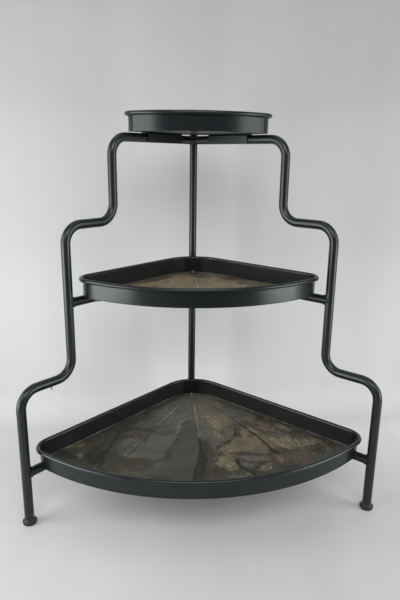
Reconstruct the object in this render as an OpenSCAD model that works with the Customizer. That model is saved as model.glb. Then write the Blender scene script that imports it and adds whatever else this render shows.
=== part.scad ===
// Three-tier corner plant stand in painted steel.
// A straight post stands in the corner. Two bent tubes step down from it, 90 degrees apart,
// and carry three quarter-round trays on round struts and angle brackets.
// Millimetres, Z up, X to the right, Y towards the corner. The origin is on the floor,
// under the middle of the stand's outer box.

/* [Side frames] */
// Height of the top rails' centre line
top_rail_h = 720; // [660:5:900]
// Height of the upper step's centre line
upper_step_h = 560; // [540:5:600]
// Height of the lower step's centre line
lower_step_h = 270; // [240:5:330]
// Distance from the post's axis to the lower leg's axis, along the frame
lower_reach = 472; // [466:2:520]
// Distance from the post's axis to the middle upright's axis
middle_reach = 357; // [350:1:380]
// Distance from the post's axis to the upper upright's axis
upper_reach = 240; // [230:1:265]
// Centre-line radius of every bend
bend_r = 35; // [24:1:45]

/* [Tubes] */
// Diameter of the side frames' tube and the struts
tube_d = 16; // [12:0.5:18]
// Diameter of the rear post
post_d = 15; // [12:0.5:18]
// Wall of every tube
tube_wall = 1.2; // [0.8:0.1:2]
// Height of the lower struts' centre line
lower_strut_h = 105.4; // [80:0.1:150]
// Height of the middle struts' centre line
middle_strut_h = 414.4; // [380:0.1:450]
// Leg of the weld fillets
weld_leg = 4; // [2:0.5:5]

/* [Trays] */
// How much shorter the lower tray's side is than the reach of the lower leg
lower_tip_gap = 14; // [8:1:40]
// How much shorter the middle tray's side is than the reach of the middle upright
middle_tip_gap = 16; // [8:1:40]
// How much shorter the top tray's side is than the reach of the upper upright
top_tip_gap = 24; // [8:1:40]
// Height of the wall from the floor plate's underside to the middle of the rim bead
bead_h = 33.3; // [24:0.1:45]
// Diameter of the rolled bead at the rim
bead_d = 8.2; // [6:0.1:10]
// Thickness of the wall's sheet
wall_t = 0.9; // [0.6:0.1:1.2]
// Thickness of the floor plate
floor_t = 1.5; // [1:0.1:2.5]
// Distance that the floor plate's edge stands proud of the wall
floor_lip = 0.5; // [0:0.1:1]
// Radius of the rounded corner at the post
apex_r = 74; // [50:1:80]
// Radius of the two rounded tips at the front
tip_r = 30; // [16:1:36]
// Diameter of the wire inside the bead
wire_d = 5.8; // [3:0.1:5.9]

/* [Floor creases] */
// Angle between two creases of a tray's floor
crease_angle = 26; // [15:1:30]
// Height of a crease above the floor
crease_h = 1.3; // [0.6:0.1:1.6]
// Radius of a crease's rounded back
crease_r = 4; // [4:0.5:8]
// Length of the taper at a crease's ends
crease_taper = 14; // [6:1:20]
// Distance from the post's axis to the start of the creases
crease_start = 86; // [80:1:95]
// Distance from the creases' end to the front of the lower tray's wall
lower_crease_gap = 98; // [40:1:150]
// Distance from the creases' end to the front of the middle tray's wall
middle_crease_gap = 72; // [40:1:120]
// Distance from the creases' end to the front of the top tray's wall
top_crease_gap = 36; // [25:1:60]

/* [Top brackets] */
// Legs of the angle under the top tray
angle_leg = 19; // [16:0.5:25]
// Thickness of the angle
angle_t = 2.5; // [2:0.1:3]
// Outer radius of the angle's fold
angle_fold_r = 3.5; // [3.2:0.1:5]
// Distance from the post's axis to the near end of each bracket
bracket_start = 50; // [45:1:60]
// Length of each bracket
bracket_len = 102; // [60:1:110]

/* [Feet] */
// Diameter of a foot's flange
foot_d = 27; // [22:0.5:32]
// Height of the flange's straight rim
foot_rim_h = 6; // [4:0.5:9]
// Height of the cone above the rim
foot_cone_h = 5; // [2:0.5:8]
// Rounding of the flange's edges
foot_round = 1.5; // [0.5:0.1:1.9]
// Length of the plug inside the tube
foot_plug = 20; // [10:1:30]

/* [Fastenings] */
// Thickness of the gussets that hold the lower trays' corners
gusset_t = 3; // [2:0.5:4]
// Distance from the post's axis to the near edge of a gusset
gusset_near = 13; // [12:0.5:16]
// Distance from the post's axis to the far edge of a gusset
gusset_far = 38; // [34:1:60]
// Distance from the post's axis to the corner screw
corner_screw = 22; // [20:0.5:26]
// Shank diameter of the screws
screw_d = 4; // [3:0.5:4.5]
// Head diameter of the screws
screw_head_d = 8; // [6.5:0.5:10]
// Head height of the screws
screw_head_h = 2.4; // [1.5:0.1:3]
// Distance from a leg's axis to the screw in its strut
screw_inset = 73; // [60:1:90]
// Distance from a bracket's end to its screw
bracket_inset = 20; // [12:1:28]
// Length of the screws in the brackets, under the head
bracket_screw_len = 12; // [9:1:14]
// Height of the cap on the post
cap_h = 4; // [2:0.5:5]

/* [Fits] */
// Gap between parts that are welded to each other
weld_gap = 0.1; // [0.05:0.05:0.2]
// Gap round the wire, the plugs and the screws
slip_gap = 0.15; // [0.1:0.05:0.3]
// Gap between a tray's bead and the post
rim_gap = 0.3; // [0.2:0.1:1]

/* [Hidden] */
$fn = 64;

tube_r = tube_d/2;
post_r = post_d/2;
bead_r = bead_d/2;
foot_h = foot_rim_h + foot_cone_h;

// The wall's outer face stands this far in front of the post's axis at the rounded corner
apex_wall = post_r + rim_gap + bead_d - wall_t;
// The sharp corner of each tray's outline lies this far behind the post's axis
apex_back = apex_r*(sqrt(2) - 1) - apex_wall;

// Straight sides of the three trays, from the sharp corner
lower_side = lower_reach - lower_tip_gap;
middle_side = middle_reach - middle_tip_gap;
top_side = upper_reach - top_tip_gap;

// Half length of the cuts that go right through a tube or plate
through = 2*tube_d;

// Undersides of the three floor plates
lower_z = lower_strut_h + tube_r + weld_gap;
middle_z = middle_strut_h + tube_r + weld_gap;
top_z = top_rail_h + tube_r + weld_gap + angle_t;

// The post stands here, so that the origin is under the middle of the outer box
front_reach = lower_side - apex_back + bead_d - wall_t;
post_y = (front_reach - foot_d/2)/2;
post_top = top_z + bead_h;

paint = [0.14, 0.15, 0.16];
floor_paint = [0.33, 0.30, 0.26];
rubber = [0.17, 0.17, 0.16];
zinc = [0.62, 0.61, 0.58];
bright_wire = [0.50, 0.50, 0.50];

// Places its children at the foot of the post
module at_post() { translate([0, post_y, 0]) children(); }

// Turns a part made along X, with Z up, into the right frame's direction
module right_way() { at_post() rotate([0, 0, -45]) children(); }

// The same for the left frame, as a mirror image
module left_way() { at_post() mirror([1, 0, 0]) rotate([0, 0, -45]) children(); }

// Everything beyond the plane between the two frames, seen from the right one
module other_side() {
    rotate([0, 0, 45]) translate([weld_gap/2 - through, -through, 0])
        cube([through, 2*through, top_rail_h + through]);
}

// A straight bar along X at height z, from x0 to x1
module bar(x0, x1, z, r) { translate([x0, 0, z]) rotate([0, 90, 0]) cylinder(h = x1 - x0, r = r); }

// An upright bar at distance x, from z0 to z1
module upright(x, z0, z1, r) { translate([x, 0, z0]) cylinder(h = z1 - z0, r = r); }

// A quarter bend in the XZ plane, centred at x and z, from angle a on
module bend(x, z, a, r) {
    translate([x, 0, z]) rotate([90, 0, 0]) rotate([0, 0, a])
        rotate_extrude(angle = 90) translate([bend_r, 0]) circle(r = r);
}

// The stepped path of a side frame as a solid rod of radius r
module stepped_rod(r, x0, z0) {
    upright(lower_reach, z0, lower_step_h - bend_r, r);
    bend(lower_reach - bend_r, lower_step_h - bend_r, 0, r);
    bar(middle_reach + bend_r, lower_reach - bend_r, lower_step_h, r);
    bend(middle_reach + bend_r, lower_step_h + bend_r, 180, r);
    upright(middle_reach, lower_step_h + bend_r, upper_step_h - bend_r, r);
    bend(middle_reach - bend_r, upper_step_h - bend_r, 0, r);
    bar(upper_reach + bend_r, middle_reach - bend_r, upper_step_h, r);
    bend(upper_reach + bend_r, upper_step_h + bend_r, 180, r);
    upright(upper_reach, upper_step_h + bend_r, top_rail_h - bend_r, r);
    bend(upper_reach - bend_r, top_rail_h - bend_r, 0, r);
    bar(x0, upper_reach - bend_r, top_rail_h, r);
}

// The post and the other frame, cut out of everything that meets the post
module post_cut(z) {
    upright(0, z - through, z + through, post_r + weld_gap);
    other_side();
}

// A weld fillet above and below a bar, where it meets an upright of radius r at x
module weld_fillets(x, z, r, way) {
    back = r - 1;
    intersection() {
        translate([x - way*back, 0, z]) rotate([0, -way*90, 0])
            cylinder(h = weld_leg + 1, r1 = tube_r + weld_leg, r2 = tube_r - 1);
        translate([x - through, weld_gap*6 - r, z - through])
            cube([2*through, 2*(r - weld_gap*6), 2*through]);
    }
}

// One bent side frame: tube with the top rail cut to fit the post
module side_frame() {
    difference() {
        union() {
            stepped_rod(tube_r, post_r/2, foot_h);
            weld_fillets(0, top_rail_h, post_r, -1);
        }
        stepped_rod(tube_r - tube_wall, -1, foot_h - 1);
        post_cut(top_rail_h);
        bracket_holes();
    }
}

// A round strut from the post to the upright at reach x, drilled for the tray's screw
module strut(x, z) {
    difference() {
        union() {
            bar(post_r/2, x - 1, z, tube_r);
            weld_fillets(0, z, post_r, -1);
            weld_fillets(x, z, tube_r, 1);
        }
        bar(-1, x + 1, z, tube_r - tube_wall);
        upright(x, z - through, z + through, tube_r + weld_gap);
        post_cut(z);
        upright(x - screw_inset, z - through, z + through, screw_d/2 + slip_gap);
    }
}

// Straight post, open at both ends for the foot and the cap
module rear_post() {
    color(paint) at_post() difference() {
        translate([0, 0, foot_h]) cylinder(h = post_top - foot_h, r = post_r);
        translate([0, 0, foot_h - 1]) cylinder(h = post_top - foot_h + 2, r = post_r - tube_wall);
    }
}

// Domed cap with a plug, in the post's top end
module post_cap() {
    color(rubber) at_post() translate([0, 0, post_top]) {
        intersection() {
            cylinder(h = cap_h, r = post_r);
            translate([0, 0, cap_h - 2*post_r]) sphere(r = 2*post_r);
        }
        translate([0, 0, -foot_plug/2]) cylinder(h = foot_plug/2 + 0.5, r = post_r - tube_wall - slip_gap);
    }
}

// A foot: flange with a rounded rim and a cone, and a plug for a tube of radius r
module foot(r) {
    color(rubber) {
        rotate_extrude() {
            difference() {
                union() {
                    square([foot_d/2 - foot_round, foot_rim_h]);
                    translate([0, foot_round]) square([foot_d/2, foot_rim_h - 2*foot_round]);
                    translate([foot_d/2 - foot_round, foot_round]) circle(r = foot_round);
                    translate([foot_d/2 - foot_round, foot_rim_h - foot_round]) circle(r = foot_round);
                    polygon([[0, foot_rim_h - foot_round], [foot_d/2 - foot_round, foot_rim_h - 0.01],
                        [r + 0.5, foot_h - weld_gap], [0, foot_h - weld_gap]]);
                }
                translate([-foot_d, -1]) square([foot_d, foot_h + 2]);
            }
        }
        cylinder(h = foot_h + foot_plug, r = r - tube_wall - slip_gap);
    }
}

// A flat gusset welded between two struts with its top at height z, drilled for the corner screw
module gusset(z) {
    // Half width of a strut at the gusset's underside, with the gap
    strut_half = sqrt(pow(tube_r + weld_gap, 2) - pow(tube_r - gusset_t, 2)) + weld_gap;
    near = gusset_near - strut_half*sqrt(2);
    far = gusset_far - strut_half*sqrt(2);
    color(paint) at_post() difference() {
        translate([0, 0, z - gusset_t]) linear_extrude(gusset_t) polygon([
            [-near, -gusset_near], [near, -gusset_near], [far, -gusset_far], [-far, -gusset_far]]);
        translate([0, -corner_screw, 0]) upright(0, z - through, z + through, screw_d/2 + slip_gap);
    }
}

// Cross-section of the angle: one leg down beside the rail, the other one out over it
module angle_section() {
    difference() {
        union() {
            translate([0, -angle_leg]) square([angle_t, angle_leg - angle_fold_r]);
            translate([angle_fold_r, -angle_t]) square([angle_leg - angle_fold_r, angle_t]);
            translate([angle_fold_r, -angle_fold_r]) circle(r = angle_fold_r);
        }
        translate([angle_fold_r, -angle_fold_r]) circle(r = angle_fold_r - angle_t);
        translate([angle_t, -angle_leg - 1]) square([angle_leg, angle_leg + 1 - angle_fold_r]);
        translate([angle_fold_r, -angle_leg - 1]) square([angle_leg, angle_leg + 1 - angle_t]);
    }
}

// Places its children at a bracket's two screws, along the right rail
module at_bracket_screws() {
    for (x = [bracket_start + bracket_inset, bracket_start + bracket_len - bracket_inset])
        translate([x, 0, 0]) children();
}

// The screw holes through a bracket, the tray's floor and the rail's upper wall
module bracket_holes() {
    at_bracket_screws() upright(0, top_rail_h, top_z + 10, screw_d/2 + slip_gap);
}

// One bracket over the right rail
module top_bracket() {
    difference() {
        translate([bracket_start, -(tube_r + weld_gap + angle_t), top_z])
            rotate([90, 0, 90]) linear_extrude(bracket_len) angle_section();
        bracket_holes();
    }
}

// Turn of a tray's rounded tip past its straight side, in hundredths of a degree
function tip_turn(side) = round(100*asin(tip_r/(side - tip_r)))/100;
// Radius of the tip, and where it starts along the straight side
function tip_round(side) = side*sin(tip_turn(side))/(1 + sin(tip_turn(side)));
function tip_along(side) = (side - tip_round(side))*cos(tip_turn(side));
// Length of the straight side, and the radius that it leaves for the rounded corner
function straight(side) = round(tip_along(side) - apex_r);
function corner_round(side) = tip_along(side) - straight(side);

// Moves its children in a coarse and a fine step, so that the pieces of a sweep meet exactly
module fine(v) {
    coarse = [round(1000*v[0])/1000, round(1000*v[1])/1000, 0];
    translate(coarse) translate([v[0], v[1], 0] - coarse) children();
}

// Places a tray that is made with its sharp corner at the origin and its sides along X and Y
module at_corner(z) { at_post() translate([0, apex_back, z]) rotate([0, 0, -135]) children(); }

// Carries a section round a tray's outline. The section's X runs outwards from the wall's
// outer face, and its Y upwards
module round_tray(side) {
    turn = tip_turn(side);
    tip = tip_round(side);
    along = tip_along(side);
    corner = corner_round(side);
    fine([corner, corner]) rotate_extrude(angle = 90, start = 180) fine([corner, 0]) children();
    fine([along, 0]) rotate([0, 0, -90]) rotate([90, 0, 0]) linear_extrude(straight(side)) children();
    fine([0, corner]) rotate([0, 0, 180]) rotate([90, 0, 0]) linear_extrude(straight(side)) children();
    fine([along, tip]) rotate_extrude(angle = 90 + turn, start = 270) fine([tip, 0]) children();
    fine([tip, along]) rotate_extrude(angle = 90 + turn, start = 90 - turn) fine([tip, 0]) children();
    rotate_extrude(angle = 90 - 2*turn, start = turn, $fn = 256) translate([side, 0]) children();
}

// Middle of a tray's floor: a many-sided shape that ends inside the floor's rounded border
module floor_middle(side, inset) {
    turn = tip_turn(side);
    tip = tip_round(side);
    along = tip_along(side);
    corner = corner_round(side);
    near = corner - (corner - inset)*cos(45);
    half = 45 - turn/2;
    tip_x = along + (tip - inset)*sin(half);
    tip_y = tip - (tip - inset)*cos(half);
    polygon([
        [inset, corner], [near, near], [corner, inset], [along, inset], [tip_x, tip_y],
        for (i = [0:5]) (side - inset)*[cos(turn + i*(90 - 2*turn)/5), sin(turn + i*(90 - 2*turn)/5)],
        [tip_y, tip_x], [inset, along]]);
}

// Section of the wall with its rolled bead. The roll's edge stops short of the wall
module wall_section() {
    translate([-wall_t, floor_t]) square([wall_t, bead_h - floor_t]);
    translate([bead_r - wall_t, bead_h]) difference() {
        circle(r = bead_r);
        circle(r = bead_r - wall_t);
        polygon([[0, 0], [-bead_d, 0], [-bead_d, -bead_d], [-bead_r*0.8, -bead_d]]);
    }
}

// A tray's wall with its floor plate's underside at height z
module tray_wall(side, z) {
    color(paint) at_corner(z) round_tray(side) wall_section();
}

// The wire inside the bead
module rim_wire(side, z) {
    color(bright_wire) at_corner(z) round_tray(side)
        translate([bead_r - wall_t, bead_h]) circle(r = wire_d/2);
}

// One straight rod with tapered ends, along X, for the back or the hollow of a crease
module crease_rod(x0, x1, z, r) {
    tip = r - crease_h - 0.15;
    bar(x0 + crease_taper, x1 - crease_taper, z, r);
    translate([x0, 0, z]) rotate([0, 90, 0]) cylinder(h = crease_taper, r1 = tip, r2 = r);
    translate([x1 - crease_taper, 0, z]) rotate([0, 90, 0]) cylinder(h = crease_taper, r1 = r, r2 = tip);
}

// The three creases, as raised backs or as the hollows under them
module creases(side, gap, r) {
    for (a = [-90 - crease_angle, -90, -90 + crease_angle]) rotate([0, 0, a])
        crease_rod(crease_start, side - apex_back - gap, floor_t + crease_h - crease_r, r);
}

// A tray's floor plate with three pressed creases that fan out from the post
module tray_floor(side, z, gap) {
    color(floor_paint) difference() {
        union() {
            at_corner(z) {
                round_tray(side) translate([-tip_r/2, 0]) square([tip_r/2 + floor_lip, floor_t]);
                linear_extrude(floor_t) floor_middle(side, tip_r/4);
            }
            at_post() translate([0, 0, z]) intersection() {
                creases(side, gap, crease_r);
                translate([-side, -side, floor_t/2]) cube([2*side, side, crease_r]);
            }
        }
        at_post() translate([0, 0, z]) creases(side, gap, crease_r - floor_t);
        floor_holes(side);
    }
}

// Holes for the screws in a floor plate
module floor_holes(side) {
    r = screw_d/2 + slip_gap;
    for (m = [0, 1]) at_post() mirror([m, 0, 0]) rotate([0, 0, -45]) {
        if (side == lower_side) upright(lower_reach - screw_inset, lower_z - tube_r, lower_z + tube_r, r);
        if (side == middle_side) upright(middle_reach - screw_inset, middle_z - tube_r, middle_z + tube_r, r);
        if (side == top_side) bracket_holes();
    }
    if (side != top_side) at_post() translate([0, -corner_screw, 0]) upright(0, 0, middle_z + tube_r, r);
}

// A screw that hangs from its head's flat face at height z: shank up, head down
module screw(z, length) {
    translate([0, 0, z]) cylinder(h = length, r = screw_d/2);
    translate([0, 0, z - screw_head_h]) cylinder(h = screw_head_h, r = screw_head_d/2);
}

// The bright screws in the rear corners of the two lower trays, each with its nut
module corner_screws() {
    color(zinc) at_post() for (z = [lower_z, middle_z]) translate([0, -corner_screw, z]) {
        translate([0, 0, -gusset_t - 4]) cylinder(h = gusset_t + 4 + floor_t, r = screw_d/2);
        translate([0, 0, floor_t]) intersection() {
            cylinder(h = screw_head_h, r = screw_head_d/2);
            translate([0, 0, screw_head_h - screw_head_d]) sphere(r = screw_head_d);
        }
        translate([0, 0, -gusset_t - 3.2]) cylinder(h = 3.2, r = 4, $fn = 6);
    }
}

// Two screws that come up through the struts at reach x and hold a tray
module strut_screws(x, z) {
    color(paint) at_post() for (m = [0, 1]) mirror([m, 0, 0]) rotate([0, 0, -45])
        translate([x - screw_inset, 0, 0]) screw(z - tube_r, tube_d + weld_gap + floor_t);
}

// Four screws with domed heads that hold the top tray and its brackets on the rails
module top_bracket_screws() {
    color(paint) at_post() for (m = [0, 1]) mirror([m, 0, 0]) rotate([0, 0, -45])
        at_bracket_screws() translate([0, 0, top_z + floor_t]) {
            translate([0, 0, -bracket_screw_len]) cylinder(h = bracket_screw_len, r = screw_d/2);
            intersection() {
                cylinder(h = screw_head_h, r = screw_head_d/2);
                translate([0, 0, screw_head_h - screw_head_d]) sphere(r = screw_head_d);
            }
        }
}

module left_side_frame() { color(paint) left_way() side_frame(); }
module right_side_frame() { color(paint) right_way() side_frame(); }
module lower_left_strut() { color(paint) left_way() strut(lower_reach, lower_strut_h); }
module lower_right_strut() { color(paint) right_way() strut(lower_reach, lower_strut_h); }
module middle_left_strut() { color(paint) left_way() strut(middle_reach, middle_strut_h); }
module middle_right_strut() { color(paint) right_way() strut(middle_reach, middle_strut_h); }
module left_top_bracket() { color(paint) left_way() top_bracket(); }
module right_top_bracket() { color(paint) right_way() top_bracket(); }
module left_foot() { left_way() translate([lower_reach, 0, 0]) foot(tube_r); }
module right_foot() { right_way() translate([lower_reach, 0, 0]) foot(tube_r); }
module rear_foot() { at_post() foot(post_r); }

rear_post();
post_cap();
left_side_frame();
right_side_frame();
lower_left_strut();
lower_right_strut();
middle_left_strut();
middle_right_strut();
gusset(lower_z);  // lower_gusset
gusset(middle_z);  // middle_gusset
left_top_bracket();
right_top_bracket();
tray_wall(lower_side, lower_z);  // lower_tray_wall
tray_floor(lower_side, lower_z, lower_crease_gap);  // lower_tray_floor
rim_wire(lower_side, lower_z);  // lower_rim_wire
tray_wall(middle_side, middle_z);  // middle_tray_wall
tray_floor(middle_side, middle_z, middle_crease_gap);  // middle_tray_floor
rim_wire(middle_side, middle_z);  // middle_rim_wire
tray_wall(top_side, top_z);  // top_tray_wall
tray_floor(top_side, top_z, top_crease_gap);  // top_tray_floor
rim_wire(top_side, top_z);  // top_rim_wire
left_foot();
right_foot();
rear_foot();
corner_screws();
strut_screws(lower_reach, lower_strut_h);  // lower_strut_screws
strut_screws(middle_reach, middle_strut_h);  // middle_strut_screws
top_bracket_screws();
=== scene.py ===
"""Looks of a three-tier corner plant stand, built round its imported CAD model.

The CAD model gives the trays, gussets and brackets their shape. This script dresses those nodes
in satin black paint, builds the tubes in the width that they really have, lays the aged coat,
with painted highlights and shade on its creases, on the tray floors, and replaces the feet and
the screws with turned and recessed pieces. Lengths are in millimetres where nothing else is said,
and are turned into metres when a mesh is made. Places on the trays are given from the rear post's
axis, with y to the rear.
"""

import logging
import math
from dataclasses import dataclass
from enum import Enum

import bpy
import numpy as np
from mathutils import Matrix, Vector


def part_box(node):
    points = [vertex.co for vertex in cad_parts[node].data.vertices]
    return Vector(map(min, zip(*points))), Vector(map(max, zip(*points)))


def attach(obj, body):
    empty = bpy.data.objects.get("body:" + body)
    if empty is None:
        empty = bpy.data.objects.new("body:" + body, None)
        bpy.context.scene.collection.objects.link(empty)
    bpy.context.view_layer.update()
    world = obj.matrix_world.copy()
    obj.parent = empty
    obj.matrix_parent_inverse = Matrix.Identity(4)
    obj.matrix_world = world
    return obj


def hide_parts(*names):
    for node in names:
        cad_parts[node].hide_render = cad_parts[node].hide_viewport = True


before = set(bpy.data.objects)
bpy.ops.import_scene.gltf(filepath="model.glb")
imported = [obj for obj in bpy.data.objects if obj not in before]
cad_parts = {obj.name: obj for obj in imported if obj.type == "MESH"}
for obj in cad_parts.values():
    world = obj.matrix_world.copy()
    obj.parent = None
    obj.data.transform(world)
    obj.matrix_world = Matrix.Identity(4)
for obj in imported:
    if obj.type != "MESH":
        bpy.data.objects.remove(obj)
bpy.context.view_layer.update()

Colour = tuple[float, float, float]
Place = tuple[float, float, float]
Socket = bpy.types.NodeSocket
Material = bpy.types.Material

log = logging.getLogger("corner_stand")
MM = 0.001
ROOT = "root"
LATTICE = 64  # Side of the table of random values that relief is made from, which repeats
LAYER_SHIFT = (7.3, 3.1)  # How far each layer of relief is shifted, so that no two line up
FIRST_SHIFT = 20.0


class Slot(Enum):
    """Names of material slots of the record."""

    PAINT = "black_paint"
    FLOOR = "aged_floor_paint"
    ZINC = "bright_zinc"
    RUBBER = "rubber"


class Side(Enum):
    """The stand's two side frames, by the sign of their x."""

    LEFT = -1
    RIGHT = 1

    @property
    def turn(self) -> float:
        """The turn about z in degrees from the x axis to the frame."""
        return -90.0 + 45.0 * self.value


class Mark(Enum):
    """What lies on a tray's floor. Each is a point attribute of the coat's mesh."""

    GREY = "grey"  # Smooth film
    SLATE = "slate"  # Blue-grey paint
    PALE = "pale"  # Pale and golden ground
    BROWN = "brown"  # Brown and olive stains
    RUST = "rust"  # Reddish stains
    MOTTLE = "mottle"  # Pitted, speckled ground
    DARK = "dark"  # Dark smudges and cracks, with painted shade along folds, creases and walls
    LIME = "lime"  # Crust
    LINE = "line"  # Pale scratches and seams, with painted highlights on the creases' crests


# Meshes


@dataclass
class Shell:
    """A closed surface in the making.

    Attributes:
        points: One row of x, y, z for each point.
        faces: Point numbers of each face, outwards by the right-hand rule.
    """

    points: np.ndarray
    faces: list[list[int]]

    def placed(self, offset: Place, turn: float = 0.0, flip: bool = False) -> "Shell":
        """Flips the shell upside down, turns it about z, then moves it.

        Args:
            offset: The move.
            turn: The turn about z in degrees.
            flip: Whether it is first turned over about the x axis.

        Returns:
            The new shell.
        """
        p = self.points * np.array([1.0, -1.0, -1.0]) if flip else self.points
        c, s = math.cos(math.radians(turn)), math.sin(math.radians(turn))
        turned = np.stack([c * p[:, 0] - s * p[:, 1], s * p[:, 0] + c * p[:, 1], p[:, 2]], axis=1)
        return Shell(turned + np.array(offset), self.faces)


def joined(shells: list[Shell]) -> Shell:
    """Puts several shells into one, in which they stay separate surfaces.

    Args:
        shells: The shells.

    Returns:
        One shell with all their points and faces.
    """
    faces: list[list[int]] = []
    start = 0
    for shell in shells:
        faces += [[i + start for i in face] for face in shell.faces]
        start += len(shell.points)
    return Shell(np.concatenate([shell.points for shell in shells]), faces)


def full_turn(count: int) -> np.ndarray:
    """Angles in radians of equal steps round a full turn, without the last one."""
    return np.linspace(0, 2 * np.pi, count, endpoint=False)


def grid_faces(rows: int, columns: int, wrap_rows: bool = False,
               wrap_columns: bool = False) -> np.ndarray:
    """Numbers the four-sided faces of a grid of points that is stored row by row.

    Args:
        rows: Number of rows.
        columns: Number of points in a row.
        wrap_rows: Whether the last row joins the first.
        wrap_columns: Whether the last column joins the first.

    Returns:
        One row of four point numbers for each face.
    """
    i, j = np.meshgrid(np.arange(rows if wrap_rows else rows - 1),
                       np.arange(columns if wrap_columns else columns - 1), indexing="ij")
    a, b = (i + 1) % rows, (j + 1) % columns
    quads = np.stack([i * columns + j, i * columns + b, a * columns + b, a * columns + j], axis=-1)
    return quads.reshape(-1, 4)


def stacked_rings(rings: np.ndarray) -> Shell:
    """Closes a stack of rings with a pole at each end.

    Args:
        rings: Points of shape (rings, points in a ring, 3), counter-clockwise and from the
            bottom up. Each end ring is filled to its own middle.

    Returns:
        The closed shell.
    """
    count, sides = rings.shape[:2]
    points = np.concatenate([rings.reshape(-1, 3), rings[:1].mean(axis=1), rings[-1:].mean(axis=1)])
    j = np.arange(sides)
    after, last = (j + 1) % sides, (count - 1) * sides
    bottom, top = np.full(sides, count * sides), np.full(sides, count * sides + 1)
    caps = np.stack([bottom, after, j, top, last + j, last + after], axis=1).reshape(-1, 3)
    return Shell(points, grid_faces(count, sides, wrap_columns=True).tolist() + caps.tolist())


def turned(profile: list[tuple[float, float]], sides: int) -> np.ndarray:
    """Turns a profile about z: x = r cos t, y = r sin t, z = z.

    Args:
        profile: Pairs of radius and height. Radii are above 0.
        sides: Number of points round the turn.

    Returns:
        The rings, of shape (pairs, sides, 3).
    """
    r, z = np.array(profile, float).T
    t = full_turn(sides)
    x, y = np.outer(r, np.cos(t)), np.outer(r, np.sin(t))
    return np.stack([x, y, np.repeat(z[:, None], sides, axis=1)], axis=-1)


def loop_tube(path: np.ndarray, outward: np.ndarray, radius: np.ndarray, sides: int = 10) -> Shell:
    """Carries a circle along a closed path: p + r (cos a outward + sin a (tangent x outward)).

    Args:
        path: Points of the closed path, one row each.
        outward: A direction across the path at each point, of length 1.
        radius: The circle's radius at each point.
        sides: Number of points round the circle.

    Returns:
        The closed shell.
    """
    tangent = np.roll(path, -1, axis=0) - np.roll(path, 1, axis=0)
    tangent /= np.linalg.norm(tangent, axis=1, keepdims=True)
    side = np.cross(tangent, outward)
    side /= np.linalg.norm(side, axis=1, keepdims=True)
    up = np.cross(side, tangent)
    a = full_turn(sides)
    ring = up[:, None] * np.cos(a)[None, :, None] + side[:, None] * np.sin(a)[None, :, None]
    points = path[:, None] + radius[:, None, None] * ring
    faces = grid_faces(len(path), sides, wrap_rows=True, wrap_columns=True)[:, ::-1]
    return Shell(points.reshape(-1, 3), faces.tolist())


def ramp(value: np.ndarray, start: float, end: float) -> np.ndarray:
    """Blends smoothly from 0 at start to 1 at end, by 3t^2 - 2t^3."""
    t = np.clip((value - start) / (end - start), 0, 1)
    return t * t * (3 - 2 * t)


def lumps(x: np.ndarray, y: np.ndarray, size: float, seed: int, octaves: int = 4) -> np.ndarray:
    """Smooth random relief: values on a square lattice, blended by 3t^2 - 2t^3, halved and summed.

    Args:
        x: First coordinate of the points.
        y: Second coordinate of the points.
        size: Distance between lattice points of the coarsest layer, in the same unit.
        seed: Seed of the lattice values.
        octaves: Number of layers, each half the size of the last.

    Returns:
        Values from 0 to 1 with the shape of x.
    """
    table = np.random.default_rng(seed).random((LATTICE, LATTICE))
    total, weight = np.zeros_like(x), 0.0
    for k in range(octaves):
        u, v = (w / size * 2**k + shift * k + FIRST_SHIFT for w, shift in zip((x, y), LAYER_SHIFT))
        i, j = np.floor(u).astype(int), np.floor(v).astype(int)
        s, t = u - i, v - j
        s, t = s * s * (3 - 2 * s), t * t * (3 - 2 * t)
        low, high = (
            table[i % LATTICE, row % LATTICE] * (1 - s)
            + table[(i + 1) % LATTICE, row % LATTICE] * s
            for row in (j, j + 1)
        )
        total += (low * (1 - t) + high * t) * 0.5**k
        weight += 0.5**k
    return total / weight


def add_piece(name: str, shell: Shell, material: Material, sharp: float = 35.0,
              marks: dict[str, np.ndarray] | None = None) -> bpy.types.Object:
    """Makes a shell into a piece that rides on the stand.

    Args:
        name: Name of the piece.
        shell: The shell.
        material: Its material.
        sharp: Angle in degrees beyond which an edge stays sharp.
        marks: Point attributes to add, by name.

    Returns:
        The new object, at the origin.
    """
    mesh = bpy.data.meshes.new(name)
    mesh.from_pydata((shell.points * MM).tolist(), [], shell.faces)
    for key, values in (marks or {}).items():
        attribute = mesh.attributes.new(key, "FLOAT", "POINT")
        attribute.data.foreach_set("value", values.astype(np.float32))
    mesh.validate()
    mesh.update()
    mesh.polygons.foreach_set("use_smooth", np.ones(len(mesh.polygons), bool))
    mesh.set_sharp_from_angle(angle=math.radians(sharp))
    mesh.materials.append(material)
    piece = bpy.data.objects.new(name, mesh)
    bpy.context.scene.collection.objects.link(piece)
    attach(piece, ROOT)
    log.info("%s: %d points, %d faces", name, len(mesh.vertices), len(mesh.polygons))
    return piece


def dress(nodes: list[str], material: Material) -> None:
    """Gives CAD nodes a material in place of their own.

    Args:
        nodes: Names of the nodes.
        material: The material.
    """
    for name in nodes:
        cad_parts[name].data.materials.clear()
        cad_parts[name].data.materials.append(material)
        log.info("%s: dressed in %s", name, material.name)


# Materials


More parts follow.
